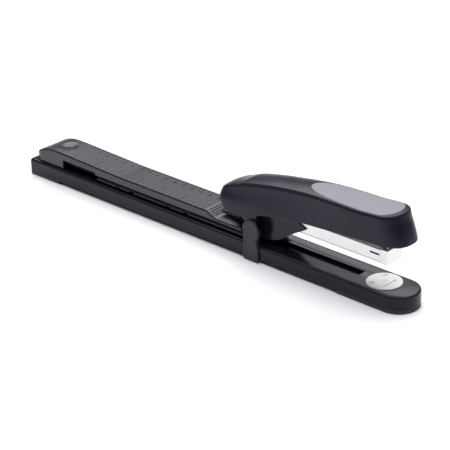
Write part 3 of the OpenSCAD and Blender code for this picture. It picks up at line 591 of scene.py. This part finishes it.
def makeHandle(material):
    # rows run from the spine of the top outwards, down the side, round the lip and back up inside
    h = handle
    x, y = tongueOutline(h["rear"], h["tip"], h["halfWidth"], h["cornerRadius"], h["noseLength"],
                         h["nosePower"])
    arc = np.linspace(0, np.pi / 2, 6)
    r, wall, lip = h["edgeRadius"], h["wall"], h["lip"]
    crease, deep = h["creaseDown"], h["creaseDepth"]
    # each block of rows: inset, blend to the spine, share of the height, rise in millimetres
    top = [(r, 1 - t, 1, 0) for t in np.linspace(0, 1, 34) ** 0.85]
    edge = [(r - r * np.sin(a), 0, 1, r * np.cos(a) - r) for a in arc[1:]]
    line = [(0, 0, 1, -crease - 0.05), (deep, 0, 1, -crease - 0.3), (deep, 0, 1, -crease - 0.55),
            (0, 0, 1, -crease - 0.85)]
    side = [(0, 0, f, 0) for f in np.linspace(0.72, 0.06, 14)]
    rim = [(lip - lip * np.cos(a), 0, 0, lip - lip * np.sin(a)) for a in arc]
    inside = [(wall, 0, 0, 0.3)] + [(wall, 0, f, -f * wall) for f in np.linspace(0.1, 0.9, 8)]
    under = [(wall + 0.6, t, 1, -wall) for t in np.linspace(0, 1, 9)]
    rows = np.array(top + edge + line + side + rim + inside + under, float)
    rowX, rowY = carried(x, y, h["rear"] + 10, h["tip"] - 20, rows[:, 0], rows[:, 1])
    narrow = headNarrow(rowX)
    topY = rowY * (1 - narrow)
    high = handleTop(rowX, topY)
    low = handleBottom(rowX)
    z = low + rows[:, 2:3] * (high - low) + rows[:, 3:4]
    # the seat of the grip pad, a little smaller than the pad
    isTop = (np.arange(len(rows)) < len(top))[:, None]
    seat = smoothStep(padHalfWidth(rowX) - pad["seatGap"] - np.abs(topY), 0.0, 0.5)
    z = z - np.where(isTop, seat * 0.8 * pad["depth"], 0)
    leaning = rowY * (1 - narrow * smoothStep(z, pin[2] + 3, high - 2))
    placed = np.stack([rowX + handleLean(rowX, z), leaning, z], axis=-1)
    piece = putMesh("headCover", [(placed, True)], 38)
    return addPiece(piece, "handle", ["handle_cover"], material)


def makePad(material):
    # the pad's outline carried from the middle underneath outwards, over a rounded rim and in over the crown
    p = pad
    centre = p["front"] - p["radius"]
    rearEnd = centre - (p["length"] - p["radius"])
    turn = np.linspace(np.pi / 2, 0, 30)
    t = np.linspace(0, 1, 90)
    backX = rearEnd + (centre - rearEnd) * (1 - np.cos(t * np.pi / 2))
    x = np.concatenate([backX, centre + p["radius"] * np.cos(turn[1:])])
    y = np.concatenate([padHalfWidth(backX), p["radius"] * np.sin(turn[1:])])
    y[0] = y[-1] = 0
    x, y = np.concatenate([x, x[-2:0:-1]]), np.concatenate([y, -y[-2:0:-1]])
    arc = np.linspace(0, np.pi / 2, 6)
    r, rise = p["rimRadius"], p["proud"]
    under = [(0.8, s, -p["depth"] * 0.75) for s in np.linspace(1, 0, 5)]
    edge = [(0.1, 0, -0.4), (0, 0, -0.1)]
    rim = [(r - r * np.cos(a), 0, rise - r + r * np.sin(a)) for a in arc]
    dip = [(p["rimWidth"], 0, rise), (p["rimWidth"] + 0.35, 0, rise - 0.14)]
    skin = [(p["rimWidth"] + 0.6, s, rise - 0.10) for s in np.linspace(0, 1, 26)]
    rows = np.array(under + edge + rim + dip + skin, float)
    rowX, rowY = carried(x, y, rearEnd + 8, centre, rows[:, 0], rows[:, 1])
    z = handleTop(rowX, rowY) + rows[:, 2:3]
    placed = np.stack([rowX + handleLean(rowX, z), rowY, z], axis=-1)
    piece = putMesh("gripPad", [(placed, True)], 50)
    return addPiece(piece, "handle", ["grip_pad"], material)


# ruler cover: a cross-section carried along the arm

coverLow, coverHigh = boxOf("arm_cover")
cover = {
    "halfWidth": coverHigh[1],
    "rear": coverLow[0],
    "front": coverHigh[0],
    "rearTop": 15.2,           # heights above the base
    "levelTop": 13.2,
    "fallAhead": [21, 90],     # where the top falls from one to the other, ahead of the hinge
    "platform": 8.7,
    "slopeBehind": [47.5, 37.5],   # the step down to the platform, behind the head pin
    "skirt": 0.8,
    "band": 6.0,               # lower edge of the side band
    "wall": 1.6,
    "rearLong": 28.0,          # length of the round rear end
    "cornerRadius": 9.0,       # rear corners, seen from above
    "edgeRadius": 0.9,
    "creaseDown": 0.8,
    "creaseDepth": 0.6,
    "windowAhead": [21, 61],   # the open side, ahead of the hinge
    "windowTop": 8.2,
    "dimpleAhead": 14.0,       # thumb rest, ahead of the hinge
    "dimpleLong": 9.5,
    "dimpleWide": 9.0,
    "dimpleDepth": 1.6,
    "grooves": 4,
    "grooveStep": 2.2,
    "grooveHalf": 0.32,
    "grooveDepth": 0.35,
    "grooveEnds": [3.2, 2.2],  # distances from the side over which the grooves fade out
}
windowEnds = [hinge[0] + ahead for ahead in cover["windowAhead"]]
slopeEnds = [pin[0] - behind for behind in cover["slopeBehind"]]


def coverTop(x):
    # the lower of a quarter ellipse at the rear end and a softened line: a long gentle fall,
    # a level run and a step down to the platform
    c = cover
    reach = np.clip((x - c["rear"]) / c["rearLong"], 0, 1)
    rise = (c["rearTop"] - c["skirt"]) * np.sqrt(1 - (1 - reach) ** 2) + c["skirt"]
    falls = [hinge[0] + ahead for ahead in c["fallAhead"]]
    line = softLine(x, falls + slopeEnds, [c["rearTop"], c["levelTop"], c["levelTop"], c["platform"]], 0.8)
    return baseTop + np.minimum(rise, line)


def makeCover(material):
    # at each place: up the near side, over the top with its crease lines, down the far side, back inside;
    # the thumb rest is a softened dish, and each groove is e^(-distance^2)
    c = cover
    rearTurn = np.linspace(0, np.pi / 2, 34)
    grooveX = slopeEnds[0] + 1.5 + c["grooveStep"] * np.arange(c["grooves"])
    fine = (grooveX[:, None] + np.linspace(-0.7, 0.7, 15)[None]).ravel()
    x = np.unique(np.round(np.concatenate([
        c["rear"] + c["rearLong"] * (1 - np.cos(rearTurn)),
        np.arange(c["rear"] + c["rearLong"], windowEnds[0], 0.7),
        [windowEnds[0] - 0.02, windowEnds[0] + 0.02, windowEnds[0] + 0.6],
        [windowEnds[1] - 1.2, windowEnds[1] - 0.02, windowEnds[1] + 0.02],
        np.linspace(windowEnds[0], c["front"], 150), fine]), 3))[:, None]
    corner = c["cornerRadius"]
    inCorner = np.clip(corner - (x - c["rear"]), 0, corner)
    half = c["halfWidth"] - corner + np.sqrt(corner ** 2 - inCorner ** 2)
    high = coverTop(x)
    inWindow = (x > windowEnds[0]) & (x < windowEnds[1])
    skirt = np.where(x <= windowEnds[0], c["skirt"], np.where(inWindow, c["windowTop"], c["band"]))
    low = np.minimum(baseTop + skirt, high - 0.02)
    arc = np.linspace(0, np.pi / 2, 6)
    r, crease, deep = c["edgeRadius"], c["creaseDown"], c["creaseDepth"]
    # half of the section: inset from the side, share of the height, rise
    section = [(0.25, 0, 0), (0, 0, 0.25)] + [(0, f, 0) for f in (0.25, 0.5)]
    section += [(0, 1, -crease - 0.85), (deep, 1, -crease - 0.55), (deep, 1, -crease - 0.3), (0, 1, -crease)]
    section += [(r - r * np.cos(a), 1, r * np.sin(a) - r) for a in arc[1:]]
    edgeRows = np.array(section, float)
    tall = np.clip(high - low, 0, None)
    rise = np.clip(edgeRows[:, 2][None], -0.45 * tall, 0.45 * tall)
    sideY = half - edgeRows[:, 0][None]
    sideZ = low + edgeRows[:, 1][None] * tall + rise
    across = np.linspace(-1, 1, 37)[None, 1:-1]
    topY = across * (half - r)
    topZ = np.broadcast_to(high, topY.shape).copy()
    apart = np.hypot((x - hinge[0] - c["dimpleAhead"]) / c["dimpleLong"], topY / c["dimpleWide"])
    topZ -= c["dimpleDepth"] * (1 - smoothStep(apart, 0.15, 1.0))
    dips = np.exp(-((x - grooveX[None]) / c["grooveHalf"]) ** 2).sum(axis=1, keepdims=True)
    start, end = [c["halfWidth"] - inset for inset in c["grooveEnds"]]
    topZ -= c["grooveDepth"] * dips * (1 - smoothStep(np.abs(topY), start, end))
    wall = c["wall"]
    inHalf = np.clip(half - wall, 0.5, None)
    inHigh = np.maximum(high - wall, low + 0.01)
    inY = np.concatenate([inHalf, inHalf, -inHalf, -inHalf], axis=1)
    inZ = np.concatenate([low, inHigh, inHigh, low], axis=1)
    y = np.concatenate([-sideY, topY, sideY[:, ::-1], inY], axis=1)
    z = np.concatenate([sideZ, topZ, sideZ[:, ::-1], inZ], axis=1)
    placed = np.stack([np.broadcast_to(x, y.shape), y, z], axis=-1)
    piece = putMesh("rulerCover", [(placed, True)], 35, capEnds=True)
    return addPiece(piece, "arm", ["arm_cover"], material)


# steel channel of the arm: a U section with flanges and pressed dents

channelLow, channelHigh = boxOf("arm_channel")
channel = {
    "rear": channelLow[0],
    "front": channelHigh[0],
    "floor": channelLow[2],
    "halfWidth": boxOf("hinge_bracket")[1][1],
    "tailHalfWidth": boxOf("hinge_bracket")[1][1] - 2.0,
    "top": 21.2,
    "tailTop": channelHigh[2],     # the tail is the narrow part at the hinge
    "steel": 1.2,
    "cornerRadius": 2.4,
    "flange": channelHigh[1],  # the flanges stand out below the cover's skirt
    "flangeGap": 0.15,         # between them and the skirt
    "flangeLow": 1.0,          # height of their upright band over the floor
    "flangeSoft": 0.7,
    "shoulder": windowEnds[1],
    "shoulderLength": 3.0,
    # each dent's distance beyond the shoulder, and its height over the floor
    "dents": [(28, 2.4), (87, 2.4), (44, 0.2), (107, 0.2)],
    "dentRadius": 2.9,
    "dentDepth": 1.7,
    "step": 0.45,
}


def makeChannel(material):
    # at each place: down the near side, round the corner, along the floor, up the far side, back inside
    c = channel
    x = np.arange(c["rear"], c["front"] + 0.2, c["step"])[:, None]
    x[-1] = c["front"]
    wide = smoothStep(x, c["shoulder"], c["shoulder"] + c["shoulderLength"])
    half = c["tailHalfWidth"] + (c["halfWidth"] - c["tailHalfWidth"]) * wide
    top = c["tailTop"] + (c["top"] - c["tailTop"]) * wide
    arc = np.linspace(0, np.pi / 2, 8)[None]
    corner = c["floor"] + c["cornerRadius"]
    # the outer side: straight down, over the flange's quarter ellipse, down it and round its lower edge
    out = half + (c["flange"] - half) * wide
    over = np.linspace(np.pi / 2, 0, 18)[None]
    bandTop, bandLow = baseTop + cover["band"] - c["flangeGap"], c["floor"] + c["flangeLow"]
    soft = c["flangeSoft"]
    overZ = bandLow + (bandTop - bandLow) * np.sin(over)
    underZ = c["floor"] + soft - soft * np.sin(arc)
    outY = np.concatenate([half, half + (out - half) * np.cos(over), out - soft * (1 - np.cos(arc))], axis=1)
    outZ = np.concatenate([top] + [np.broadcast_to(z, (len(x), z.shape[1])) for z in (overZ, underZ)], axis=1)
    for ahead, height in c["dents"]:
        apart = np.hypot(x - c["shoulder"] - ahead, outZ - c["floor"] - height) / c["dentRadius"]
        outY = outY - c["dentDepth"] * (1 - smoothStep(apart, 0.45, 1.0))
    inHalf, inFloor = half - c["steel"], c["floor"] + c["steel"]
    inCorner = c["cornerRadius"] - c["steel"]
    inY = np.concatenate([inHalf, inHalf, inHalf - inCorner * (1 - np.cos(arc[:, 1:]))], axis=1)
    inZ = np.concatenate([top, np.broadcast_to(corner, top.shape),
                          np.broadcast_to(inFloor + inCorner * (1 - np.sin(arc[:, 1:])),
                                          (len(x), arc.shape[1] - 1))], axis=1)
    y = np.concatenate([-outY, outY[:, ::-1], inY, -inY[:, ::-1]], axis=1)
    z = np.concatenate([outZ, outZ[:, ::-1], inZ, inZ[:, ::-1]], axis=1)
    placed = np.stack([np.broadcast_to(x, y.shape), y, z], axis=-1)
    piece = putMesh("armChannel", [(placed, True)], 50, capEnds=True)
    return addPiece(piece, "arm", ["arm_channel"], material)


# staples: a comb of wires, each a rounded ridge along the strip

stripLow, stripHigh = boxOf("staple_strip")
strip = {"pitch": 0.52, "wire": 0.5, "corner": 0.7, "groove": 0.07}


def makeStrip(material):
    # the staple's U outline carried along X, swelling and shrinking once for each wire
    count = int(round((stripHigh[0] - stripLow[0]) / strip["pitch"]))
    phase = np.tile([0.0, 0.12, 0.5, 0.88], count) + np.repeat(np.arange(count), 4)
    x = (stripLow[0] + (stripHigh[0] - stripLow[0]) * np.append(phase, count) / count)[:, None]
    pinch = (strip["groove"] * (np.append(np.tile([1.0, 0.25, 0, 0.25], count), 1.0)))[:, None]
    half, low, high, wire, r = stripHigh[1], stripLow[2], stripHigh[2], strip["wire"], strip["corner"]
    arc = np.linspace(0, np.pi / 2, 5)[None]
    outY = np.concatenate([half - pinch, half - pinch - (r - r * np.cos(arc))], axis=1)
    outZ = np.concatenate([low + 0 * pinch, high - pinch - r + r * np.sin(arc)], axis=1)
    inY = np.concatenate([half - wire + 0 * pinch, half - wire + 0 * pinch], axis=1)
    inZ = np.concatenate([high - wire + 0 * pinch, low + 0 * pinch], axis=1)
    y = np.concatenate([-outY, outY[:, ::-1], inY[:, ::-1], -inY], axis=1)
    z = np.concatenate([outZ, outZ[:, ::-1], inZ[:, ::-1], inZ], axis=1)
    placed = np.stack([np.broadcast_to(x, y.shape), y, z], axis=-1)
    piece = putMesh("stapleStrip", [(placed, True)], 30, capEnds=True)
    return addPiece(piece, "tray", ["staple_strip"], material)


# coil springs

def coilGrid(centre, axis, radius, wire, length, turns):
    # a circle of the wire's radius carried round a helix; the end turns close up
    perTurn, around = 28, 10
    steps = int(turns * perTurn)
    t = np.linspace(0, 1, steps)[:, None]
    k = np.linspace(0, 2 * np.pi, around, endpoint=False)[None]
    angle = 2 * np.pi * turns * t
    ends = 1.0 / turns
    climb = np.interp(t, [0, ends, 1 - ends, 1], [0, ends * 0.45, 1 - ends * 0.45, 1])
    reach = radius + wire * np.cos(k)
    along = wire + (length - 2 * wire) * climb + wire * np.sin(k)
    a, b = reach * np.cos(angle), reach * np.sin(angle)
    parts = {"x": [along, a, b], "z": [a, b, along]}[axis]
    return np.stack([np.broadcast_to(p, (steps, around)) + c for p, c in zip(parts, centre)], axis=-1)


# wire is the radius of the wire, and keep the share of length left when the joint is at its limit
springs = {
    "pusher_spring": dict(body="tray", axis="x", wire=0.25, turns=20, joint="pusher_slide", keep=0.24),
    "handle_spring": dict(body="magazine", axis="z", wire=0.5, turns=6, joint="handle_pivot", keep=0.73),
    "anvil_spring": dict(body="anvil", axis="z", wire=0.35, turns=3, joint=None, keep=1.0),
}
latchCoils = {"wire": 0.25, "turns": 3, "keep": 0.40}


def squashSpring(piece):
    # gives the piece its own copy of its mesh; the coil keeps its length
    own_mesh(piece)


def makeSprings(material):
    # each coil fills its CAD node's box; the latch has two side by side
    for node, s in springs.items():
        low, high = boxOf(node)
        middle = (low + high) / 2
        along = {"x": 0, "z": 2}[s["axis"]]
        centre = middle.copy()
        centre[along] = low[along]
        radius = (high[1] - low[1]) / 2 - s["wire"]
        grid = coilGrid(centre, s["axis"], radius, s["wire"], high[along] - low[along], s["turns"])
        piece = putMesh(node.replace("_spring", "Coil"), [(grid, True)], 60, capEnds=True)
        addPiece(piece, s["body"], [node], material)
        if s["joint"]:
            squashSpring(piece)
    low, high = boxOf("latch_springs")
    wire = latchCoils["wire"]
    radius = (high[1] - low[1]) / 2 - wire
    grids = [(coilGrid([x, 0, low[2]], "z", radius, wire, high[2] - low[2], latchCoils["turns"]), True)
             for x in (low[0] + radius + wire, high[0] - radius - wire)]
    piece = putMesh("latchCoils", grids, 60, capEnds=True)
    addPiece(piece, "magazine", ["latch_springs"], material)
    squashSpring(piece)


# paper stop: two uprights with a round head and a waist, joined under the base

stopLow, stopHigh = boxOf("paper_stop")
stop = {
    "rear": stopLow[0],
    "front": stopHigh[0],
    "outer": stopHigh[1],
    "inner": stopHigh[1] - 1.7,
    "thickInner": stopHigh[1] - 3.9,   # the upright is thicker above the base
    "thickTop": [26, 30.5],    # where it thins again below the head
    "waistHeight": 17.5,
    "waistIn": 2.2,
    "waistReach": 4.2,
    "taper": 0.6,              # the front edge leans back by this at the head
    "rearIn": 0.3,
    "foot": 1.2,               # radius of the lower corners
    "edge": 0.8,
    "strapInset": [1.3, 2.4],  # from the rear and the front of the uprights
    "strapThick": 1.4,
    "strapSoft": 0.4,
}


def stopGrid(side):
    # the upright's outline in the XZ plane, with a waist of e^(-distance^2) under a round head,
    # carried over its rounded edges from the outer face inwards
    s = stop
    low, high = stopLow[2], stopHigh[2]
    middle, headR = (s["rear"] + s["front"]) / 2, (s["front"] - s["rear"]) / 2
    headZ = high - headR
    turn = np.linspace(0, np.pi, 41)
    foot = s["foot"]
    rise = np.linspace(low + foot, headZ, 40)[:-1]
    waist = s["waistIn"] * np.exp(-((rise - s["waistHeight"]) / s["waistReach"]) ** 2)
    quarter = np.linspace(-np.pi / 2, 0, 6)
    frontX = s["front"] - waist - s["taper"] * smoothStep(rise, headZ, low)
    rearX = s["rear"] + 0.25 * waist + s["rearIn"]
    footFrontX = frontX[0] - foot + foot * np.cos(quarter)
    footRearX = rearX[0] + foot - foot * np.cos(quarter)
    footZ = low + foot + foot * np.sin(quarter)
    headX, headTopZ = middle + headR * np.cos(turn), headZ + headR * np.sin(turn)
    x = np.concatenate([footFrontX, frontX[1:], headX, rearX[::-1][:-1], footRearX[::-1]])
    z = np.concatenate([footZ, rise[1:], headTopZ, rise[::-1][:-1], footZ[::-1]])
    arc = np.linspace(0, np.pi / 2, 5)
    r = s["edge"]
    face = [(r, 1 - t, 0) for t in np.linspace(0, 1, 12)]
    edge = [(r - r * np.sin(a), 0, r - r * np.cos(a)) for a in arc]
    back = [(0, 0, 0.5), (0, 0, 1.0)]
    under = [(0.3, t, 1.0) for t in np.linspace(0, 1, 12)]
    rows = np.array(face + edge + back + under, float)
    dx, dz = np.roll(x, -1) - np.roll(x, 1), np.roll(z, -1) - np.roll(z, 1)
    size = np.hypot(dx, dz)
    rowX = x[None] - rows[:, 0:1] * (dz / size)[None]
    rowZ = z[None] + rows[:, 0:1] * (dx / size)[None]
    spineX, spineZ = np.full_like(rowX, middle), np.clip(rowZ, low + 6, headZ)
    rowX = rowX * (1 - rows[:, 1:2]) + spineX * rows[:, 1:2]
    rowZ = rowZ * (1 - rows[:, 1:2]) + spineZ * rows[:, 1:2]
    thick = smoothStep(rowZ, baseTop + 0.2, baseTop + 1.2) * (1 - smoothStep(rowZ, *s["thickTop"]))
    inner = s["inner"] + (s["thickInner"] - s["inner"]) * thick
    isBack = (np.arange(len(rows)) >= len(face) + len(edge))[:, None]
    depth = np.where(isBack, (s["outer"] - inner) * rows[:, 2:3], rows[:, 2:3])
    return np.stack([rowX, side * (s["outer"] - depth), rowZ], axis=-1)


def barGrid(low, high, soft):
    # a bar along Y: a rounded rectangle in the XZ plane carried across
    around = 24
    turn = np.linspace(0, 2 * np.pi, around, endpoint=False)
    past = turn + 0.01         # a little on, so no corner point falls between quadrants
    quadrantX, quadrantZ = np.sign(np.cos(past)), np.sign(np.sin(past))
    x = (low[0] + high[0]) / 2 + quadrantX * ((high[0] - low[0]) / 2 - soft) + soft * np.cos(turn)
    z = (low[2] + high[2]) / 2 + quadrantZ * ((high[2] - low[2]) / 2 - soft) + soft * np.sin(turn)
    y = np.linspace(low[1], high[1], 2)[:, None]
    return np.stack([np.broadcast_to(part, (2, around)) for part in (x, y, z)], axis=-1)


def makeStop(material):
    # two uprights, and a strap that reaches a little way into both
    s = stop
    soft, reach = s["strapSoft"], s["inner"] + 0.4
    strap = barGrid([s["rear"] + s["strapInset"][0], -reach, stopLow[2]],
                    [s["front"] - s["strapInset"][1], reach, stopLow[2] + s["strapThick"]], soft)
    uprights = putMesh("paperStop", [(stopGrid(-1), True), (stopGrid(1), True)], 40)
    strapPiece = putMesh("paperStopStrap", [(strap, True)], 40, capEnds=True)
    addPiece(uprights, "stop", ["paper_stop"], material)
    addPiece(strapPiece, "stop", [], material)


# numerals beside the scales: plain figures, raised like the marks

numerals = {
    "height": 2.6,
    "sizeShare": 1.35,         # the font's size over the height of its figures
    "thick": 0.12,
    "cmFrom": 6.8,             # distances of the two rows from the edge of the scale
    "inchFrom": 7.4,
    "scaleInset": 1,           # the edge of the scale, in from the cover's side
    "zeroAhead": 34,           # nought on both scales, ahead of the hinge
    "endGap": 4,               # clear of the slope
}


def figureMesh(word, height, x, y, z):
    # a plain figure read from the near side, made a mesh and laid on the cover
    curve = bpy.data.curves.new("figure", "FONT")
    curve.body = word
    curve.size = height * numerals["sizeShare"] * mm
    curve.extrude = numerals["thick"] / 2 * mm
    curve.align_x = "CENTER"
    curve.align_y = "CENTER"
    curve.resolution_u = 2
    made = bpy.data.objects.new("figure", curve)
    bpy.context.scene.collection.objects.link(made)
    bpy.context.view_layer.update()
    mesh = bpy.data.meshes.new_from_object(made)
    bpy.data.objects.remove(made)
    mesh.transform(Matrix.Translation((x * mm, y * mm, z * mm)))
    return mesh


def makeNumerals(material):
    # a figure at each centimetre on one side and each inch on the other, joined into one mesh
    first = hinge[0] + numerals["zeroAhead"]
    last = slopeEnds[0] - numerals["endGap"]
    meshes = []
    for unit, edge, name in ((10.0, 1, "cmFrom"), (25.4, -1, "inchFrom")):
        for i in range(1, int((last - first) / unit) + 1):
            x = first + i * unit
            y = edge * (cover["halfWidth"] - numerals["scaleInset"] - numerals[name])
            z = float(coverTop(np.array([x]))[0]) + numerals["thick"] / 2
            meshes.append(figureMesh(str(i), numerals["height"], x, y, z))
    work = bmesh.new()
    for mesh in meshes:
        work.from_mesh(mesh)
    bmesh.ops.remove_doubles(work, verts=work.verts, dist=1e-7)
    joined = bpy.data.meshes.new("scaleFigures")
    work.to_mesh(joined)
    work.free()
    piece = bpy.data.objects.new("scaleFigures", joined)
    bpy.context.scene.collection.objects.link(piece)
    return addPiece(piece, "arm", [], material)


# everything else: softened copies of the CAD nodes

# width of each softened edge; the marks keep their CAD meshes
softEdges = {
    "base_channel": 0.35, "front_foot": 0.4, "rear_foot": 0.4, "foot_screws": 0.12,
    "hinge_bracket": 0.2, "bracket_rivets": 0.15, "hinge_pin": 0.25, "arm_spring": 0.1,
    "anvil_plate": 0.12, "anvil_clip": 0.15, "arm_screws": 0.12,
    "head_bracket": 0.25, "head_rivets": 0.2, "head_pin": 0.3, "magazine_spring": 0.1,
    "magazine_housing": 0.2, "latch_rivets": 0.2, "release_latch": 0.35, "staple_tray": 0.12,
    "tray_front": 0.3, "pusher_rod": 0.2, "staple_pusher": 0.3, "handle_frame": 0.2,
    "handle_screw": 0.15, "driver_blade": 0.08, "driver_rivet": 0.15, "stop_spring": 0.08,
    "cm_marks": 0.0, "inch_marks": 0.0,
}

# leaf springs that flatten: the joint that presses them, and the share of height left
leafSprings = {"magazine_spring": ("magazine_pivot", 0.66), "arm_spring": ("arm_hinge", 0.70)}

materials = {
    "black_enamel": blackEnamel(), "black_gloss": blackGloss(), "black_satin": blackSatin(),
    "grip_grey": gripGrey(), "nickel": nickel(), "zinc": zinc(), "spring_steel": springSteel(),
    "staple_wire": stapleWire(), "stop_grey": stopGrey(), "scale_print": scalePrint(),
    "foot_rubber": footRubber(),
}
print("materials made:", len(materials))

slotOf = {part["node"]: part["material_slot"] for part in frame["record"]["subparts"]}
bodyOf = {node: body for body, nodes in frame["record"]["behaviour"]["bodies"].items() for node in nodes}

makeHandle(materials["black_gloss"])
makePad(materials["grip_grey"])
print("head made")
makeCover(materials["black_satin"])
makeChannel(materials["black_enamel"])
makeNumerals(materials["scale_print"])
print("arm made")
makeStrip(materials["staple_wire"])
makeSprings(materials["spring_steel"])
makeStop(materials["stop_grey"])
print("springs, staples and stop made")
for node, width in softEdges.items():
    slotName = slotOf[node]
    if width:
        finish = anvilSteel() if node == "anvil_plate" else materials[slotName]
        copy = addPiece(softCopy(node, width), bodyOf[node], [node], finish)
        if node in leafSprings:
            squashSpring(copy)
    else:
        cadPiece = frame["nodes"][node]
        cadPiece.data.materials.clear()
        cadPiece.data.materials.append(materials[slotName])
print("softened copies made:", len(softEdges))


# floor, light and camera

studio = {
    "floorHalf": 8.0,          # metres
    "world": (0.16, 0.16, 0.20),
    # place and aim in metres, width and depth in metres, and watts
    "topSoft": dict(place=(-0.1, 0.25, 1.8), aim=(0, 0, 0), size=(3.0, 3.0), power=76),
    "backSoft": dict(place=(-1.3, 1.35, 1.5), aim=(0, 0, 0), size=(2.0, 0.8), power=14),
}


def makeFloor():
    # a large pale square
    half = studio["floorHalf"]
    corners = [(-half, -half, 0), (half, -half, 0), (half, half, 0), (-half, half, 0)]
    mesh = bpy.data.meshes.new("floor")
    mesh.from_pydata(corners, [], [(0, 1, 2, 3)])
    floor = bpy.data.objects.new("floor", mesh)
    bpy.context.scene.collection.objects.link(floor)
    book = FinishBook("paleFloor")
    colour = book.mix(book.noise(400, 2.0), (0.93, 0.93, 0.935), (0.95, 0.95, 0.95))
    mesh.materials.append(book.finish(Base_Color=colour, Roughness=0.6, Specular_IOR_Level=0.2))


def addLight(name, place, aim, size, power):
    # a soft rectangular lamp at place, turned to face aim
    lamp = bpy.data.lights.new(name, "AREA")
    lamp.shape = "RECTANGLE"
    lamp.size, lamp.size_y = size
    lamp.energy = power
    made = bpy.data.objects.new(name, lamp)
    back = np.array(place, float) - np.array(aim, float)
    back /= np.linalg.norm(back)
    right = np.cross([0, 0, 1.0], back)
    right /= np.linalg.norm(right)
    up = np.cross(back, right)
    turned = np.eye(4)
    turned[:3, 0], turned[:3, 1], turned[:3, 2], turned[:3, 3] = right, up, back, place
    made.matrix_world = Matrix(turned.tolist())
    bpy.context.scene.collection.objects.link(made)


def makeWorld():
    # the same dim colour all round
    world = bpy.data.worlds.new("studio")
    world.use_nodes = True
    shade = world.node_tree.nodes["Background"]
    shade.inputs["Color"].default_value = (*studio["world"], 1)
    bpy.context.scene.world = world


camera = {
    "azimuth": 43.58, "elevation": 25.69, "roll": -1.42,           # degrees
    "distance": 1.611, "target": (0.0094, 0.0, 0.0107),            # metres
    "lens": 158.72, "sensor": 36.0,                                # millimetres
}


def makeCamera():
    # looks from an azimuth and elevation at a target, with a small roll
    c = camera
    a, e, r = np.radians([c["azimuth"], c["elevation"], c["roll"]])
    back = np.array([np.sin(a) * np.cos(e), -np.cos(a) * np.cos(e), np.sin(e)])
    right = np.array([np.cos(a), np.sin(a), 0])
    up = np.cross(back, right)
    turned = np.eye(4)
    turned[:3, 0] = np.cos(r) * right + np.sin(r) * up
    turned[:3, 1] = -np.sin(r) * right + np.cos(r) * up
    turned[:3, 2] = back
    turned[:3, 3] = np.array(c["target"]) + back * c["distance"]
    lens = bpy.data.cameras.new("camera")
    lens.sensor_width = c["sensor"]
    lens.lens = c["lens"]
    lens.clip_start = 0.05
    made = bpy.data.objects.new("camera", lens)
    made.matrix_world = Matrix(turned.tolist())
    bpy.context.scene.collection.objects.link(made)
    bpy.context.scene.camera = made


makeFloor()
makeWorld()
for name in ("topSoft", "backSoft"):
    addLight(name, **studio[name])
makeCamera()
bpy.context.scene.view_settings.view_transform = "Standard"
print("studio made")
